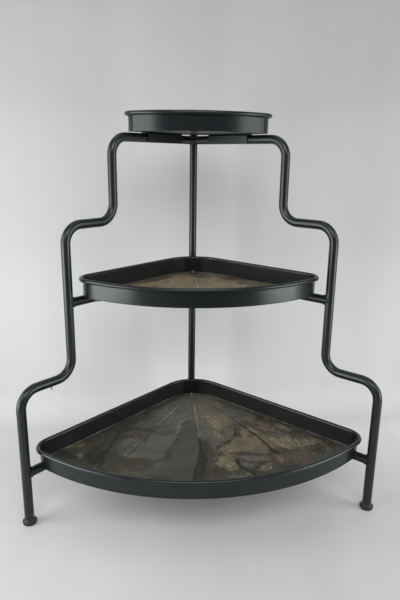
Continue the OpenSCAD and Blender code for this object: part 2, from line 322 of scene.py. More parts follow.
class Graph:
    """Adds nodes to a node tree and links them."""

    def __init__(self, tree: bpy.types.NodeTree) -> None:
        """Keeps the tree that nodes are added to."""
        self.tree = tree

    def feed(self, socket: Socket, value: object) -> None:
        """Links an output to a socket, or sets its plain value, where a colour gets a full alpha.

        Args:
            socket: The input socket.
            value: An output socket, a number, a vector or a colour.
        """
        if isinstance(value, Socket):
            self.tree.links.new(value, socket)
        else:
            socket.default_value = (*value, 1.0) if socket.type == "RGBA" else value

    def add(self, kind: str, inputs: dict | None = None, **settings: object) -> bpy.types.Node:
        """Adds one node.

        Args:
            kind: Blender's name of the node type.
            inputs: For each input name or number, a value or an output socket to link.
            **settings: Properties to set on the node.

        Returns:
            The new node.
        """
        node = self.tree.nodes.new(kind)
        for name, value in settings.items():
            setattr(node, name, value)
        for key, value in (inputs or {}).items():
            self.feed(node.inputs[key], value)
        return node

    def noise(self, vector: Socket, scale: float, detail: float = 3.0) -> Socket:
        """Adds a noise texture, with its scale in lumps per metre, and returns its value."""
        found = self.add("ShaderNodeTexNoise", {"Vector": vector, "Scale": scale, "Detail": detail})
        return found.outputs["Fac"]

    def mapped(self, vector: Socket, **settings: Place) -> Socket:
        """Moves, turns or stretches coordinates by Location, Rotation and Scale."""
        return self.add("ShaderNodeMapping", {"Vector": vector, **settings}).outputs["Vector"]

    def vector(self, operation: str, *values: object) -> bpy.types.Node:
        """Adds a vector math node on vectors or sockets."""
        return self.add("ShaderNodeVectorMath", dict(enumerate(values)), operation=operation)

    def span(self, value: Socket, low: float, high: float, to_low: float = 0.0,
             to_high: float = 1.0) -> Socket:
        """Maps a value's range smoothly to another range.

        Args:
            value: The value.
            low: Where the result is to_low.
            high: Where the result is to_high.
            to_low: The result at and beyond low.
            to_high: The result at and beyond high.

        Returns:
            The mapped value.
        """
        node = self.add("ShaderNodeMapRange", {
            "Value": value, "From Min": low, "From Max": high, "To Min": to_low, "To Max": to_high,
        }, interpolation_type="SMOOTHSTEP")
        return node.outputs["Result"]

    def math(self, operation: str, *values: object) -> Socket:
        """Adds a math node on values or sockets and returns its result."""
        node = self.add("ShaderNodeMath", dict(enumerate(values)), operation=operation)
        return node.outputs["Value"]

    def times(self, first: object, second: object) -> Socket:
        """Multiplies two values or sockets."""
        return self.math("MULTIPLY", first, second)

    def mix(self, factor: object, first: object, second: object) -> Socket:
        """Mixes two colours by a factor and returns the colour."""
        inputs = {0: factor, 6: first, 7: second}
        return self.add("ShaderNodeMix", inputs, data_type="RGBA").outputs[2]


class Surface(Graph):
    """The graph of one material, from Object coordinates to its Principled shader."""

    def __init__(self, name: str) -> None:
        """Makes a material, and keeps its shader and its Object coordinates.

        Args:
            name: Name of the material.
        """
        self.material = bpy.data.materials.new(name)
        self.material.use_nodes = True
        super().__init__(self.material.node_tree)
        self.shader = self.tree.nodes["Principled BSDF"]
        self.place = self.add("ShaderNodeTexCoord").outputs["Object"]

    def shade(self, **inputs: object) -> Material:
        """Feeds the shader.

        Args:
            **inputs: What feeds each of its inputs, with _ for a space in a name.

        Returns:
            The material.
        """
        for key, value in inputs.items():
            self.feed(self.shader.inputs[key.replace("_", " ")], value)
        return self.material

    def bump(self, height: Socket, depth: float, strength: float = 1.0) -> Socket:
        """Makes a normal from a height.

        Args:
            height: The height, about 0 to 1.
            depth: The relief's depth in metres.
            strength: Share of the relief that shows.

        Returns:
            The normal.
        """
        inputs = {"Height": height, "Distance": depth, "Strength": strength}
        return self.add("ShaderNodeBump", inputs).outputs["Normal"]


def worn_group() -> bpy.types.NodeTree:
    """Makes the shared node group for old paint: uneven tone, fine peel, scuffs and specks.

    Returns:
        The group, with inputs Vector, Colour, Scuff Colour, Speck Colour, Scuffs, Specks and Gloss,
        and outputs Colour, Roughness and Height.
    """
    tree = bpy.data.node_groups.new("old_paint", "ShaderNodeTree")
    for way, kind, names in (
        ("INPUT", "Vector", ("Vector",)),
        ("INPUT", "Color", ("Colour", "Scuff Colour", "Speck Colour")),
        ("INPUT", "Float", ("Scuffs", "Specks", "Gloss")),
        ("OUTPUT", "Color", ("Colour",)),
        ("OUTPUT", "Float", ("Roughness", "Height")),
    ):
        for name in names:
            tree.interface.new_socket(name, in_out=way, socket_type=f"NodeSocket{kind}")
    g = Graph(tree)
    got = g.add("NodeGroupInput").outputs
    place = got["Vector"]
    tone, cloud, peel = (
        g.noise(place, *sizes) for sizes in ((11.0, 3.0), (48.0, 5.0), (190.0, 2.0))
    )
    scratch = g.noise(g.mapped(place, Scale=(60.0, 60.0, 420.0)), 1.0, 6.0)
    scuff = g.times(g.span(scratch, 0.62, 0.74), g.span(cloud, 0.52, 0.66))
    scuff = g.times(scuff, got["Scuffs"])
    speck = g.times(g.span(g.noise(place, 300.0, 1.0), 0.75, 0.79), got["Specks"])
    darker = g.mix(g.span(tone, 0.35, 0.65, 0.0, 0.22), got["Colour"], (0.0, 0.0, 0.0))
    worn = g.mix(scuff, darker, got["Scuff Colour"])
    colour = g.mix(speck, worn, got["Speck Colour"])
    rough = g.math("ADD", got["Gloss"], g.span(tone, 0.3, 0.7, -0.02, 0.03))
    rough = g.math("ADD", rough, g.times(scuff, 0.25))
    height = g.math("ADD", g.times(peel, 0.5), g.times(speck, 0.6))
    g.add("NodeGroupOutput", {"Colour": colour, "Roughness": rough, "Height": height})
    return tree


@dataclass(frozen=True)
class PaintFinish:
    """Old satin paint on steel, with linear colours and strengths from 0 to 1."""

    name: str
    colour: Colour
    gloss: float  # Middle roughness
    scuffs: float
    specks: float
    dust: float = 0.2  # Dust on upward faces
    film: float = 0.0  # Painted light lightening the inner faces of a tray's wall
    sheen: Colour = (0.93, 1.0, 1.0)  # Tint of the gloss
    scuff_colour: Colour = (0.07, 0.07, 0.066)
    speck_colour: Colour = (0.16, 0.15, 0.13)
    dust_colour: Colour = (0.11, 0.105, 0.095)
    # Colour of the painted light on the inner faces
    inner_light_colour: Colour = (0.05, 0.05, 0.049)
    peel_depth: float = 0.000012  # Metres
    peel_strength: float = 0.6
    axis_y: float = 0.218  # Metres from the origin back to the post's axis

    def paint_inner_light(self, g: Surface, normal: Socket) -> Socket:
        """Finds the inner faces of a tray's wall, where painted light lightens the paint.

        With n the normal and e the direction away from the post, the inner face of the front has
        n.e near -1, and those of the two straight sides have n.e near 0 and n.y below 0.

        Args:
            g: The material's graph.
            normal: The normal.

        Returns:
            Strength of the painted light, from 0 to its full value.
        """
        level = g.vector("SUBTRACT", g.place, (0.0, self.axis_y, 0.0)).outputs[0]
        level = g.vector("MULTIPLY", level, (1.0, 1.0, 0.0)).outputs[0]
        away = g.vector("NORMALIZE", level).outputs[0]
        facing = g.vector("DOT_PRODUCT", away, normal).outputs["Value"]
        rear = g.add("ShaderNodeSeparateXYZ", {0: normal}).outputs["Y"]
        sides = g.times(g.span(rear, -0.6, -0.3, 1.0, 0.0), g.span(facing, 0.3, 0.6, 1.0, 0.0))
        inside = g.math("MAXIMUM", sides, g.span(facing, -0.8, -0.5, 1.0, 0.0))
        cloud = g.span(g.noise(g.place, 18.0, 4.0), 0.3, 0.7, 0.55 * self.film, self.film)
        return g.times(inside, cloud)

    def build(self, group: bpy.types.NodeTree) -> Material:
        """Makes the material.

        Args:
            group: The shared group for old paint.

        Returns:
            The material.
        """
        g = Surface(self.name)
        worn = g.add("ShaderNodeGroup", node_tree=group)
        for key, value in (("Vector", g.place), ("Colour", self.colour), ("Scuffs", self.scuffs),
                           ("Scuff Colour", self.scuff_colour), ("Specks", self.specks),
                           ("Speck Colour", self.speck_colour), ("Gloss", self.gloss)):
            g.feed(worn.inputs[key], value)
        normal = g.add("ShaderNodeNewGeometry").outputs["Normal"]
        up = g.add("ShaderNodeSeparateXYZ", {0: normal}).outputs["Z"]
        cloud = g.span(g.noise(g.place, 45.0, 4.0), 0.3, 0.7)
        dusty = g.times(g.span(up, 0.55, 0.95, 0.0, self.dust), cloud)
        colour = g.mix(dusty, worn.outputs["Colour"], self.dust_colour)
        # Painted light: the inner faces of a tray's wall are made lighter
        if self.film > 0:
            colour = g.mix(self.paint_inner_light(g, normal), colour, self.inner_light_colour)
        rough = g.math("ADD", worn.outputs["Roughness"], g.times(dusty, 0.5))
        relief = g.bump(worn.outputs["Height"], self.peel_depth, self.peel_strength)
        return g.shade(Base_Color=colour, Roughness=rough, Normal=relief, Specular_Tint=self.sheen)


@dataclass(frozen=True)
class MetalFinish:
    """Dull plated or plain steel, with linear colours."""

    name: str
    colour: Colour
    roughness: float  # Where it is clean
    tarnish: Colour = (0.32, 0.28, 0.22)
    pit_depth: float = 0.00005  # Metres

    def build(self) -> Material:
        """Makes the material, with stains and fine pits.

        Returns:
            The material.
        """
        g = Surface(self.name)
        stain = g.span(g.noise(g.place, 420.0, 4.0), 0.42, 0.68)
        rough = g.math("ADD", g.times(stain, 0.3), self.roughness)
        relief = g.bump(g.noise(g.place, 900.0), self.pit_depth)
        return g.shade(Base_Color=g.mix(stain, self.colour, self.tarnish), Roughness=rough,
                       Normal=relief, Metallic=1.0)


@dataclass(frozen=True)
class CoatFinish:
    """The aged coat on a tray's floor: paint under lime, soil and water marks, in linear colours.

    Fine noise breaks up the edges of the marks. The line and dark colours also paint highlights
    on the creases' crests and shade along creases, folds and walls.
    """

    name: str
    ground: Colour = (0.079, 0.074, 0.056)
    ground_shade: Colour = (0.034, 0.03, 0.022)  # The ground's darker clouds
    grey: Colour = (0.118, 0.114, 0.094)
    slate: Colour = (0.066, 0.07, 0.063)
    pale: Colour = (0.188, 0.151, 0.092)
    brown: Colour = (0.053, 0.047, 0.033)
    rust: Colour = (0.088, 0.063, 0.048)
    # Dark also paints shade along creases, folds and walls; line paints highlights on crests
    dark: Colour = (0.013, 0.0125, 0.0085)
    lime: Colour = (0.38, 0.32, 0.2)
    line: Colour = (0.29, 0.275, 0.24)
    relief: float = 0.0005  # Metres
    gloss: float = 0.35  # Specular level
    # How far noise frays the edges of a mark, and how much of its colour shows
    edges: tuple = ((Mark.GREY, 1.0, 0.9), (Mark.PALE, 1.5, 0.85), (Mark.SLATE, 0.8, 0.9),
                    (Mark.BROWN, 1.3, 0.85), (Mark.RUST, 1.4, 0.8))

    def build(self) -> Material:
        """Makes the material as the marks say: stains, pits, crust, dirt, lines and painted light.

        Returns:
            The material.
        """
        g = Surface(self.name)
        mark = {
            m: g.add("ShaderNodeAttribute", attribute_name=m.value).outputs["Fac"] for m in Mark
        }
        cloud, grain, fine = (
            g.noise(g.place, *sizes) for sizes in ((22.0, 8.0), (150.0, 7.0), (520.0, 4.0))
        )
        soil = g.noise(g.mapped(g.place, Location=(3.0, 7.0, 0.0)), 34.0, 7.0)
        colour = g.mix(g.span(cloud, 0.34, 0.64, 0.0, 0.9), self.ground, self.ground_shade)
        colour = g.mix(g.span(soil, 0.5, 0.68, 0.0, 0.55), colour, self.brown)
        for name, frayed, most in self.edges:
            edge = g.math("ADD", mark[name], g.times(g.math("SUBTRACT", grain, 0.5), frayed))
            found = g.times(g.span(edge, 0.12, 0.85, 0.0, most), g.span(mark[name], 0.0, 0.12))
            colour = g.mix(found, colour, getattr(self, name.value))
        pits = g.mapped(g.place, Rotation=(0.0, 0.0, 0.8), Scale=(240.0, 110.0, 200.0))
        pits = g.noise(pits, 1.0, 4.0)
        for limits, shown in (((0.52, 0.64, 0.0, 0.85), self.ground_shade),
                              ((0.46, 0.36, 0.0, 0.5), self.pale)):
            colour = g.mix(g.times(mark[Mark.MOTTLE], g.span(pits, *limits)), colour, shown)
        clump = g.math("ADD", mark[Mark.LIME], g.times(g.math("SUBTRACT", soil, 0.5), 2.0))
        spots = g.span(g.noise(g.place, 250.0, 3.0), 0.5, 0.62)
        crust = g.times(g.times(g.span(clump, 0.3, 1.0), spots), g.span(mark[Mark.LIME], 0.0, 0.2))
        # Dirt, and the painted highlights and shade that the line and dark marks carry
        dirt_and_painted_light = (
            (crust, self.lime),
            (g.span(soil, 0.54, 0.34, 0.0, 0.3), self.ground_shade),
            (g.span(grain, 0.46, 0.3, 0.0, 0.45), self.ground_shade),
            (g.span(grain, 0.56, 0.7, 0.0, 0.22), self.pale),
            (g.span(fine, 0.5, 0.72, 0.0, 0.4), self.ground_shade),
            (g.times(mark[Mark.LINE], g.span(grain, 0.3, 0.55)), self.line),
            (g.times(mark[Mark.DARK], g.span(grain, 0.7, 0.45, 0.55, 1.0)), self.dark),
        )
        for factor, shown in dirt_and_painted_light:
            colour = g.mix(factor, colour, shown)
        rough = g.math("SUBTRACT", g.span(grain, 0.3, 0.7, 0.62, 0.8),
                       g.times(mark[Mark.SLATE], 0.12))
        relief = g.bump(g.math("ADD", crust, g.times(grain, 0.5)), self.relief)
        return g.shade(Base_Color=colour, Roughness=rough, Normal=relief,
                       Specular_IOR_Level=self.gloss)


@dataclass(frozen=True)
class StudioFinish:
    """A plain matt surface of the studio, with a linear colour."""

    name: str
    colour: Colour
    roughness: float = 0.9
    gloss: float = 0.1  # Specular level

    def build(self) -> Material:
        """Makes the material.

        The colour is multiplied by the sheet's tone, which paints light and shade, and by faint
        vertical streaks of painted shade. From behind, the sheet is clear, so that it never stands
        between a camera and the stand.

        Returns:
            The material.
        """
        g = Surface(self.name)
        # Painted shade: faint vertical streaks, down to 94 per cent of the colour
        streak_shade = g.noise(g.mapped(g.place, Scale=(7.0, 2.0, 0.6)), 1.0, 2.0)
        streak_shade = g.span(streak_shade, 0.3, 0.7, 1.0, 0.94)
        tone = g.add("ShaderNodeAttribute", attribute_name="tone").outputs["Fac"]
        colour = g.mix(g.times(tone, streak_shade), (0.0, 0.0, 0.0), self.colour)
        material = g.shade(Base_Color=colour, Roughness=self.roughness,
                           Specular_IOR_Level=self.gloss)
        behind = g.add("ShaderNodeNewGeometry").outputs["Backfacing"]
        clear = g.add("ShaderNodeBsdfTransparent").outputs["BSDF"]
        both = g.add("ShaderNodeMixShader", {0: behind, 1: g.shader.outputs["BSDF"], 2: clear})
        g.feed(g.tree.nodes["Material Output"].inputs["Surface"], both.outputs["Shader"])
        return material


TUBE_PAINT = PaintFinish("tube_paint", (0.009, 0.011, 0.012), gloss=0.3, scuffs=0.25,
                         specks=0.5, dust=0.06)
# The tray's paint carries painted light on the inner faces of its wall
TRAY_PAINT = PaintFinish("tray_paint", (0.0055, 0.0078, 0.0088), gloss=0.27, scuffs=0.1,
                         specks=0.12, dust=0.04, film=0.32)
FLOOR_PAINT = PaintFinish("floor_paint", (0.008, 0.0105, 0.0115), gloss=0.28, scuffs=0.4,
                          specks=0.3, dust=0.1)
STRUT_PAINT = PaintFinish("strut_paint", (0.0055, 0.0065, 0.007), gloss=0.4, scuffs=0.2,
                          specks=0.4, dust=0.02, sheen=(0.65, 0.7, 0.7))
FOOT_RUBBER = PaintFinish("foot_rubber", (0.011, 0.0105, 0.01), gloss=0.5, scuffs=0.5,
                          specks=0.8)
BRIGHT_ZINC = MetalFinish("bright_zinc", (0.8, 0.78, 0.73), roughness=0.3)
WIRE_STEEL = MetalFinish("rim_wire_steel", (0.4, 0.4, 0.4), roughness=0.4)
LOWER_COAT = CoatFinish("lower_coat")
MIDDLE_COAT = CoatFinish(
    "middle_coat", ground=(0.13, 0.112, 0.075), ground_shade=(0.06, 0.05, 0.036),
    grey=(0.16, 0.145, 0.12), pale=(0.3, 0.224, 0.138), brown=(0.08, 0.053, 0.036),
    rust=(0.12, 0.08, 0.05), lime=(0.36, 0.3, 0.2),
)
TOP_COAT = CoatFinish("top_coat")
STUDIO_SHEET = StudioFinish("studio_sheet", (1.0, 0.994, 0.971))


# The stand


@dataclass
class StandPlan:
    """Sizes that the sub-assemblies share. Distances are from the post's axis."""

    post_y: float = 218.124  # The post's axis behind the frame's origin
    post_radius: float = 8.5  # Post and tubes are wider than the CAD's, as in the photograph
    post_bore: float = 6.3
    tube_radius: float = 8.9  # Side frames and struts
    tube_bore: float = 6.8
    lower_reach: float = 472.0  # To the axis of the lower leg
    middle_reach: float = 357.0  # To the axis of the middle upright
    lower_strut_z: float = 105.4  # Heights of centre lines
    middle_strut_z: float = 414.4
    rail_z: float = 720.0

    @property
    def foot(self) -> Place:
        """The point where the post's axis meets the floor."""
        return 0.0, self.post_y, 0.0

    @property
    def tiers(self) -> tuple[tuple[str, float, float], ...]:
        """Name, distance to the uprights and height of the struts of the two lower tiers."""
        return (("lower", self.lower_reach, self.lower_strut_z),
                ("middle", self.middle_reach, self.middle_strut_z))

    def along(self, distance: float, side: Side, z: float) -> Place:
        """Finds a point on a side frame.

        Args:
            distance: Distance from the post's axis.
            side: The frame.
            z: The point's height.

        Returns:
            The point in the row frame.
        """
        leg = distance * math.sqrt(0.5)
        return side.value * leg, self.post_y - leg, z


@dataclass
class Tubes:
    """The post, the two bent side frames and the struts, in the width that the photograph shows."""

    plan: StandPlan
    upper_reach: float = 240.0  # From the post's axis to the upper upright's
    lower_step_z: float = 270.0  # Heights of the steps' centre lines
    upper_step_z: float = 560.0
    foot_z: float = 10.9  # Height of the tubes' lower ends
    bend: float = 35.0  # Radius of the bends at the centre line
    fillet: float = 3.0  # Weld fillet where a level tube meets an upright
    fillet_rings: int = 6
    sunk: float = 0.4  # How far a level tube's end runs into the upright
    mitre: float = 0.1  # Least distance from the mitre between the two frames
    sides: int = 48  # Points round a tube
    turns: int = 14  # Steps in a bend
    # The post's rounded upper edge: how far it draws in, and how far below the end
    post_edge: tuple = ((0.0, 1.0), (0.25, 0.4), (0.9, 0.0))

    def corner(self, at: tuple, before: tuple, after: tuple) -> list:
        """Rounds one corner of the path: c + R (sin t before - cos t after) from leg to leg.

        Args:
            at: Distance and height of the sharp corner.
            before: Direction in which the path comes in, of length 1.
            after: Direction in which it goes on, of length 1.

        Returns:
            Pairs of a path point and its tangent.
        """
        a, b, c = np.array(before), np.array(after), np.array(at)
        middle = c - self.bend * a + self.bend * b
        return [
            (middle + self.bend * (math.sin(t) * a - math.cos(t) * b),
             math.cos(t) * a + math.sin(t) * b)
            for t in np.linspace(0, np.pi / 2, self.turns + 1)
        ]

    def path(self) -> list:
        """Lists the path of a side frame's centre line from the foot to the last bend.

        Returns:
            Pairs of a point and its tangent in the frame's plane.
        """
        plan, up, back = self.plan, (0.0, 1.0), (-1.0, 0.0)
        steps = [(np.array([plan.lower_reach, self.foot_z]), np.array(up))]
        for reach, next_reach, z in ((plan.lower_reach, plan.middle_reach, self.lower_step_z),
                                     (plan.middle_reach, self.upper_reach, self.upper_step_z)):
            steps += self.corner((reach, z), up, back) + self.corner((next_reach, z), back, up)
        return steps + self.corner((self.upper_reach, plan.rail_z), up, back)

    def frame_rings(self, radius: float, side: Side) -> np.ndarray:
        """Rings of one surface of a side frame: p + r (cos a (Tz, 0, -Tx) + sin a (0, 1, 0)).

        Args:
            radius: Radius r of the surface.
            side: The frame.

        Returns:
            The rings in the frame's plane, with x along the frame.
        """
        a = full_turn(self.sides)
        rings = [
            np.stack([x + radius * tz * np.cos(a), radius * np.sin(a),
                      z - radius * tx * np.cos(a)], axis=1)
            for (x, z), (tx, tz) in self.path()
        ]
        return np.array(rings + self.collar(radius, 0.0, self.plan.rail_z, side)[::-1])

    def collar(self, radius: float, reach: float, z: float, side: Side) -> list[np.ndarray]:
        """Rings at the end of a level tube that meets an upright, from the upright outwards.

        They lie on the saddle x = sqrt(R^2 - y^2), or at the post on the mitre x = |y| towards the
        other frame, and flare out there by the fillet h (1 - s)^2 |cos a|.

        Args:
            radius: Radius of the tube's surface.
            reach: Distance from the post's axis to the upright's, 0 at the post.
            z: Height of the tube's centre line.
            side: The frame.

        Returns:
            The rings in the frame's plane.
        """
        a = full_turn(self.sides)
        inner = (self.plan.tube_radius if reach else self.plan.post_radius) - self.sunk
        flare = self.fillet if radius > self.plan.tube_bore else 0.0
        rings = []
        for s in np.linspace(0.0, 1.0, self.fillet_rings):
            wide = radius + flare * (1 - s) ** 2 * np.abs(np.cos(a))
            y = wide * np.sin(a)
            gap = np.sqrt(np.maximum(inner**2 - y**2, 0.0))
            if not reach:
                gap = np.maximum(gap, self.mitre - side.value * y)
            gap = gap + s * self.fillet
            rings.append(np.stack([reach - gap if reach else gap, y, z + wide * np.cos(a)], axis=1))
        return rings

    def strut_rings(self, radius: float, side: Side, reach: float, z: float) -> np.ndarray:
        """Rings of one surface of a strut, from the upright back to the post."""
        inner = self.collar(radius, 0.0, z, side)[::-1]
        return np.array(self.collar(radius, reach, z, side) + inner)

    def hollow(self, outer: np.ndarray, inner: np.ndarray) -> Shell:
        """Closes two stacks of rings into a tube with open ends.

        Args:
            outer: Rings of the outside.
            inner: Rings of the bore, in the same order.

        Returns:
            The tube.
        """
        rings = np.concatenate([outer, inner[::-1]])
        faces = grid_faces(len(rings), self.sides, wrap_rows=True, wrap_columns=True)
        return Shell(rings.reshape(-1, 3), faces.tolist())

    def build(self, paint: Material, strut_paint: Material) -> None:
        """Makes the side frames, the struts and the post.

        Args:
            paint: The stand's paint.
            strut_paint: The struts' paint.
        """
        plan = self.plan
        walls = (plan.tube_radius, plan.tube_bore)
        for side in Side:
            name = side.name.lower()
            shell = self.hollow(*(self.frame_rings(radius, side) for radius in walls))
            shell = shell.placed(plan.foot, side.turn)
            piece = add_piece(f"{name}_side_frame_tube", shell, paint)
            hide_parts(f"{name}_side_frame")
            for tier, reach, z in plan.tiers:
                shell = self.hollow(*(self.strut_rings(radius, side, reach, z) for radius in walls))
                shell = shell.placed(plan.foot, side.turn)
                piece = add_piece(f"{tier}_{name}_strut_tube", shell, strut_paint)
                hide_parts(f"{tier}_{name}_strut")
        low, high = (corner[2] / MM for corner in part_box("rear_post"))
        radius, bore = plan.post_radius, plan.post_bore
        outside = [(radius, low), (radius, 0.5 * (low + high))]
        outside += [(radius - inward, high - below) for inward, below in self.post_edge]
        inside = [(bore, low), (bore, high)]
        shell = self.hollow(*(turned(profile, self.sides) for profile in (outside, inside)))
        piece = add_piece("rear_post_tube", shell.placed(plan.foot), paint)
        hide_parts("rear_post")


@dataclass
class WeldBeads:
    """The lumpy weld beads where the struts meet the uprights."""

    plan: StandPlan
    bead: float = 1.3  # Middle radius of a bead
    ripple: float = 0.22  # How much the radius swells and shrinks along it
    ripples: int = 17
    fillet: float = 3.4  # How far the bead stands back from the upright above and below
    jitter: float = 0.12
    sunk: float = 0.3  # How far it sinks into the upright
    spread: float = 1.01  # Its path's radius as a share of the strut's
    slim: float = 0.75  # Radius at the strut's sides, as a share of that above and below
    steps: int = 96  # Points along a bead
    seed: int = 3

    def bead_shell(self, seed: int) -> Shell:
        """One bead on the end of a strut that lies along x and meets an upright at the origin.

        The path is the saddle where the two round tubes meet: y = r cos t, z = r sin t and
        x = -sqrt(R^2 - y^2), moved out by the fillet.

        Args:
            seed: Seed of the bead's lumps.

        Returns:
            The bead.
        """
        r, upright = self.plan.tube_radius, self.plan.tube_radius - self.sunk
        t = full_turn(self.steps)
        y, z = r * np.cos(t), r * np.sin(t)
        x = -np.sqrt(np.maximum(upright**2 - y**2, 0.0)) - self.fillet * np.abs(np.sin(t)) ** 0.7
        jitter = np.random.default_rng(seed).normal(0, self.jitter, self.steps)
        smooth = (jitter + np.roll(jitter, 1) + np.roll(jitter, -1)) / 3
        path = np.stack([x + smooth, y * self.spread, z * self.spread], axis=1)
        outward = np.stack([np.zeros_like(t), np.cos(t), np.sin(t)], axis=1)
        radius = self.bead * (self.slim + (1 - self.slim) * np.abs(np.sin(t)))
        radius = radius + self.ripple * np.sin(self.ripples * t + seed) + smooth
        return loop_tube(path, outward, radius)

    def build(self, paint: Material) -> None:
        """Makes the beads at the outer ends of the four struts.

        Args:
            paint: Their paint.
        """
        for tier, reach, z in self.plan.tiers:
            shells = []
            for side in Side:
                shell = self.bead_shell(self.seed + side.value)
                shells.append(shell.placed(self.plan.along(reach, side, z), side.turn))
            add_piece(f"{tier}_strut_welds", joined(shells), paint, sharp=80.0)


@dataclass
class PaintDrip:
    """The hardened drip of paint under the left frame's lower step."""

    plan: StandPlan
    distance: float = 406.0  # From the post's axis along the frame
    step_z: float = 270.0  # Height of the step's centre line
    length: float = 8.5
    width: float = 1.9  # Radius at the root, beyond the tail's
    tail: float = 0.35  # Least radius
    bulge: float = 0.25  # How much the end of the drip swells
    bulge_at: float = 0.9  # Where, as a share of the length, and how far along it
    bulge_long: float = 0.08
    close: float = 0.4  # Share of the radius that the last ring keeps
    bend: float = 1.6
    wave: float = 0.5
    waves: float = 5.0
    lean: float = 0.4
    sunk: float = 0.6  # How far the root runs into the tube
    rings: int = 22
    sides: int = 16

    def build(self, paint: Material) -> None:
        """Makes the drip: rings of radius w (1 - t)^1.5 + tail on a path that bends with t^2.

        Args:
            paint: The stand's paint.
        """
        t = np.linspace(0.0, 1.0, self.rings)
        radius = self.width * (1 - t) ** 1.5 + self.tail
        radius = radius + self.bulge * np.exp(-(((t - self.bulge_at) / self.bulge_long) ** 2))
        radius[-1] *= self.close
        a = full_turn(self.sides)
        bend = self.bend * t**2 - self.wave * np.sin(self.waves * t)
        x = bend[:, None] + np.outer(radius, np.cos(a))
        y = self.lean * t[:, None] + np.outer(radius, np.sin(a))
        z = np.repeat(-self.length * t[:, None], self.sides, axis=1)
        root = self.step_z - self.plan.tube_radius + self.sunk
        shell = stacked_rings(np.stack([x, y, z], axis=-1)[::-1])
        shell = shell.placed(self.plan.along(self.distance, Side.LEFT, root))
        add_piece("step_paint_drip", shell, paint, sharp=80.0)


@dataclass
class Feet:
    """The three round feet, turned pieces that stand in for the CAD feet."""

    plan: StandPlan
    flange: float = 13.5  # Widest radius
    sole: tuple = ((0.6, 0.0), (4.0, 0.0))  # Radius and height of the sole's middle
    # The flange from the floor up: how far it draws in from its widest radius, and the height
    rim: tuple = ((2.7, 0.0), (1.8, 0.1), (1.25, 0.45), (1.0, 1.0), (0.75, 2.2), (0.5, 3.4),
                  (0.2, 4.6), (0.02, 5.4), (0.0, 5.9), (0.15, 6.35), (0.55, 6.6), (1.2, 6.85),
                  (2.6, 7.6))
    # The neck: how far it stands out from the tube, and the height
    neck: tuple = ((1.1, 9.4), (0.5, 10.3), (0.2, 10.9))
    plug: float = 30.0  # Height of the plug's top inside the tube
    slack: float = 0.2  # Between the plug and the bore
    sides: int = 72

    def profile(self, tube: float, bore: float) -> list[tuple[float, float]]:
        """Lists a foot's profile from the floor up.

        Args:
            tube: Radius of its tube.
            bore: Radius of the tube's bore.

        Returns:
            Pairs of radius and height.
        """
        inner, height = bore - self.slack, self.neck[-1][1]
        return [
            *self.sole, *((self.flange - inward, z) for inward, z in self.rim),
            *((tube + outward, z) for outward, z in self.neck),
            (inner, height), (inner, self.plug), (self.sole[0][0], self.plug),
        ]

    def build(self, rubber: Material) -> None:
        """Makes the three feet.

        Args:
            rubber: Their material.
        """
        plan = self.plan
        tube, post = (plan.tube_radius, plan.tube_bore), (plan.post_radius, plan.post_bore)
        for name, place, sizes in (
            ("left_foot", plan.along(plan.lower_reach, Side.LEFT, 0.0), tube),
            ("right_foot", plan.along(plan.lower_reach, Side.RIGHT, 0.0), tube),
            ("rear_foot", plan.foot, post),
        ):
            shell = stacked_rings(turned(self.profile(*sizes), self.sides)).placed(place)
            piece = add_piece(f"{name}_turned", shell, rubber)
            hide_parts(name)


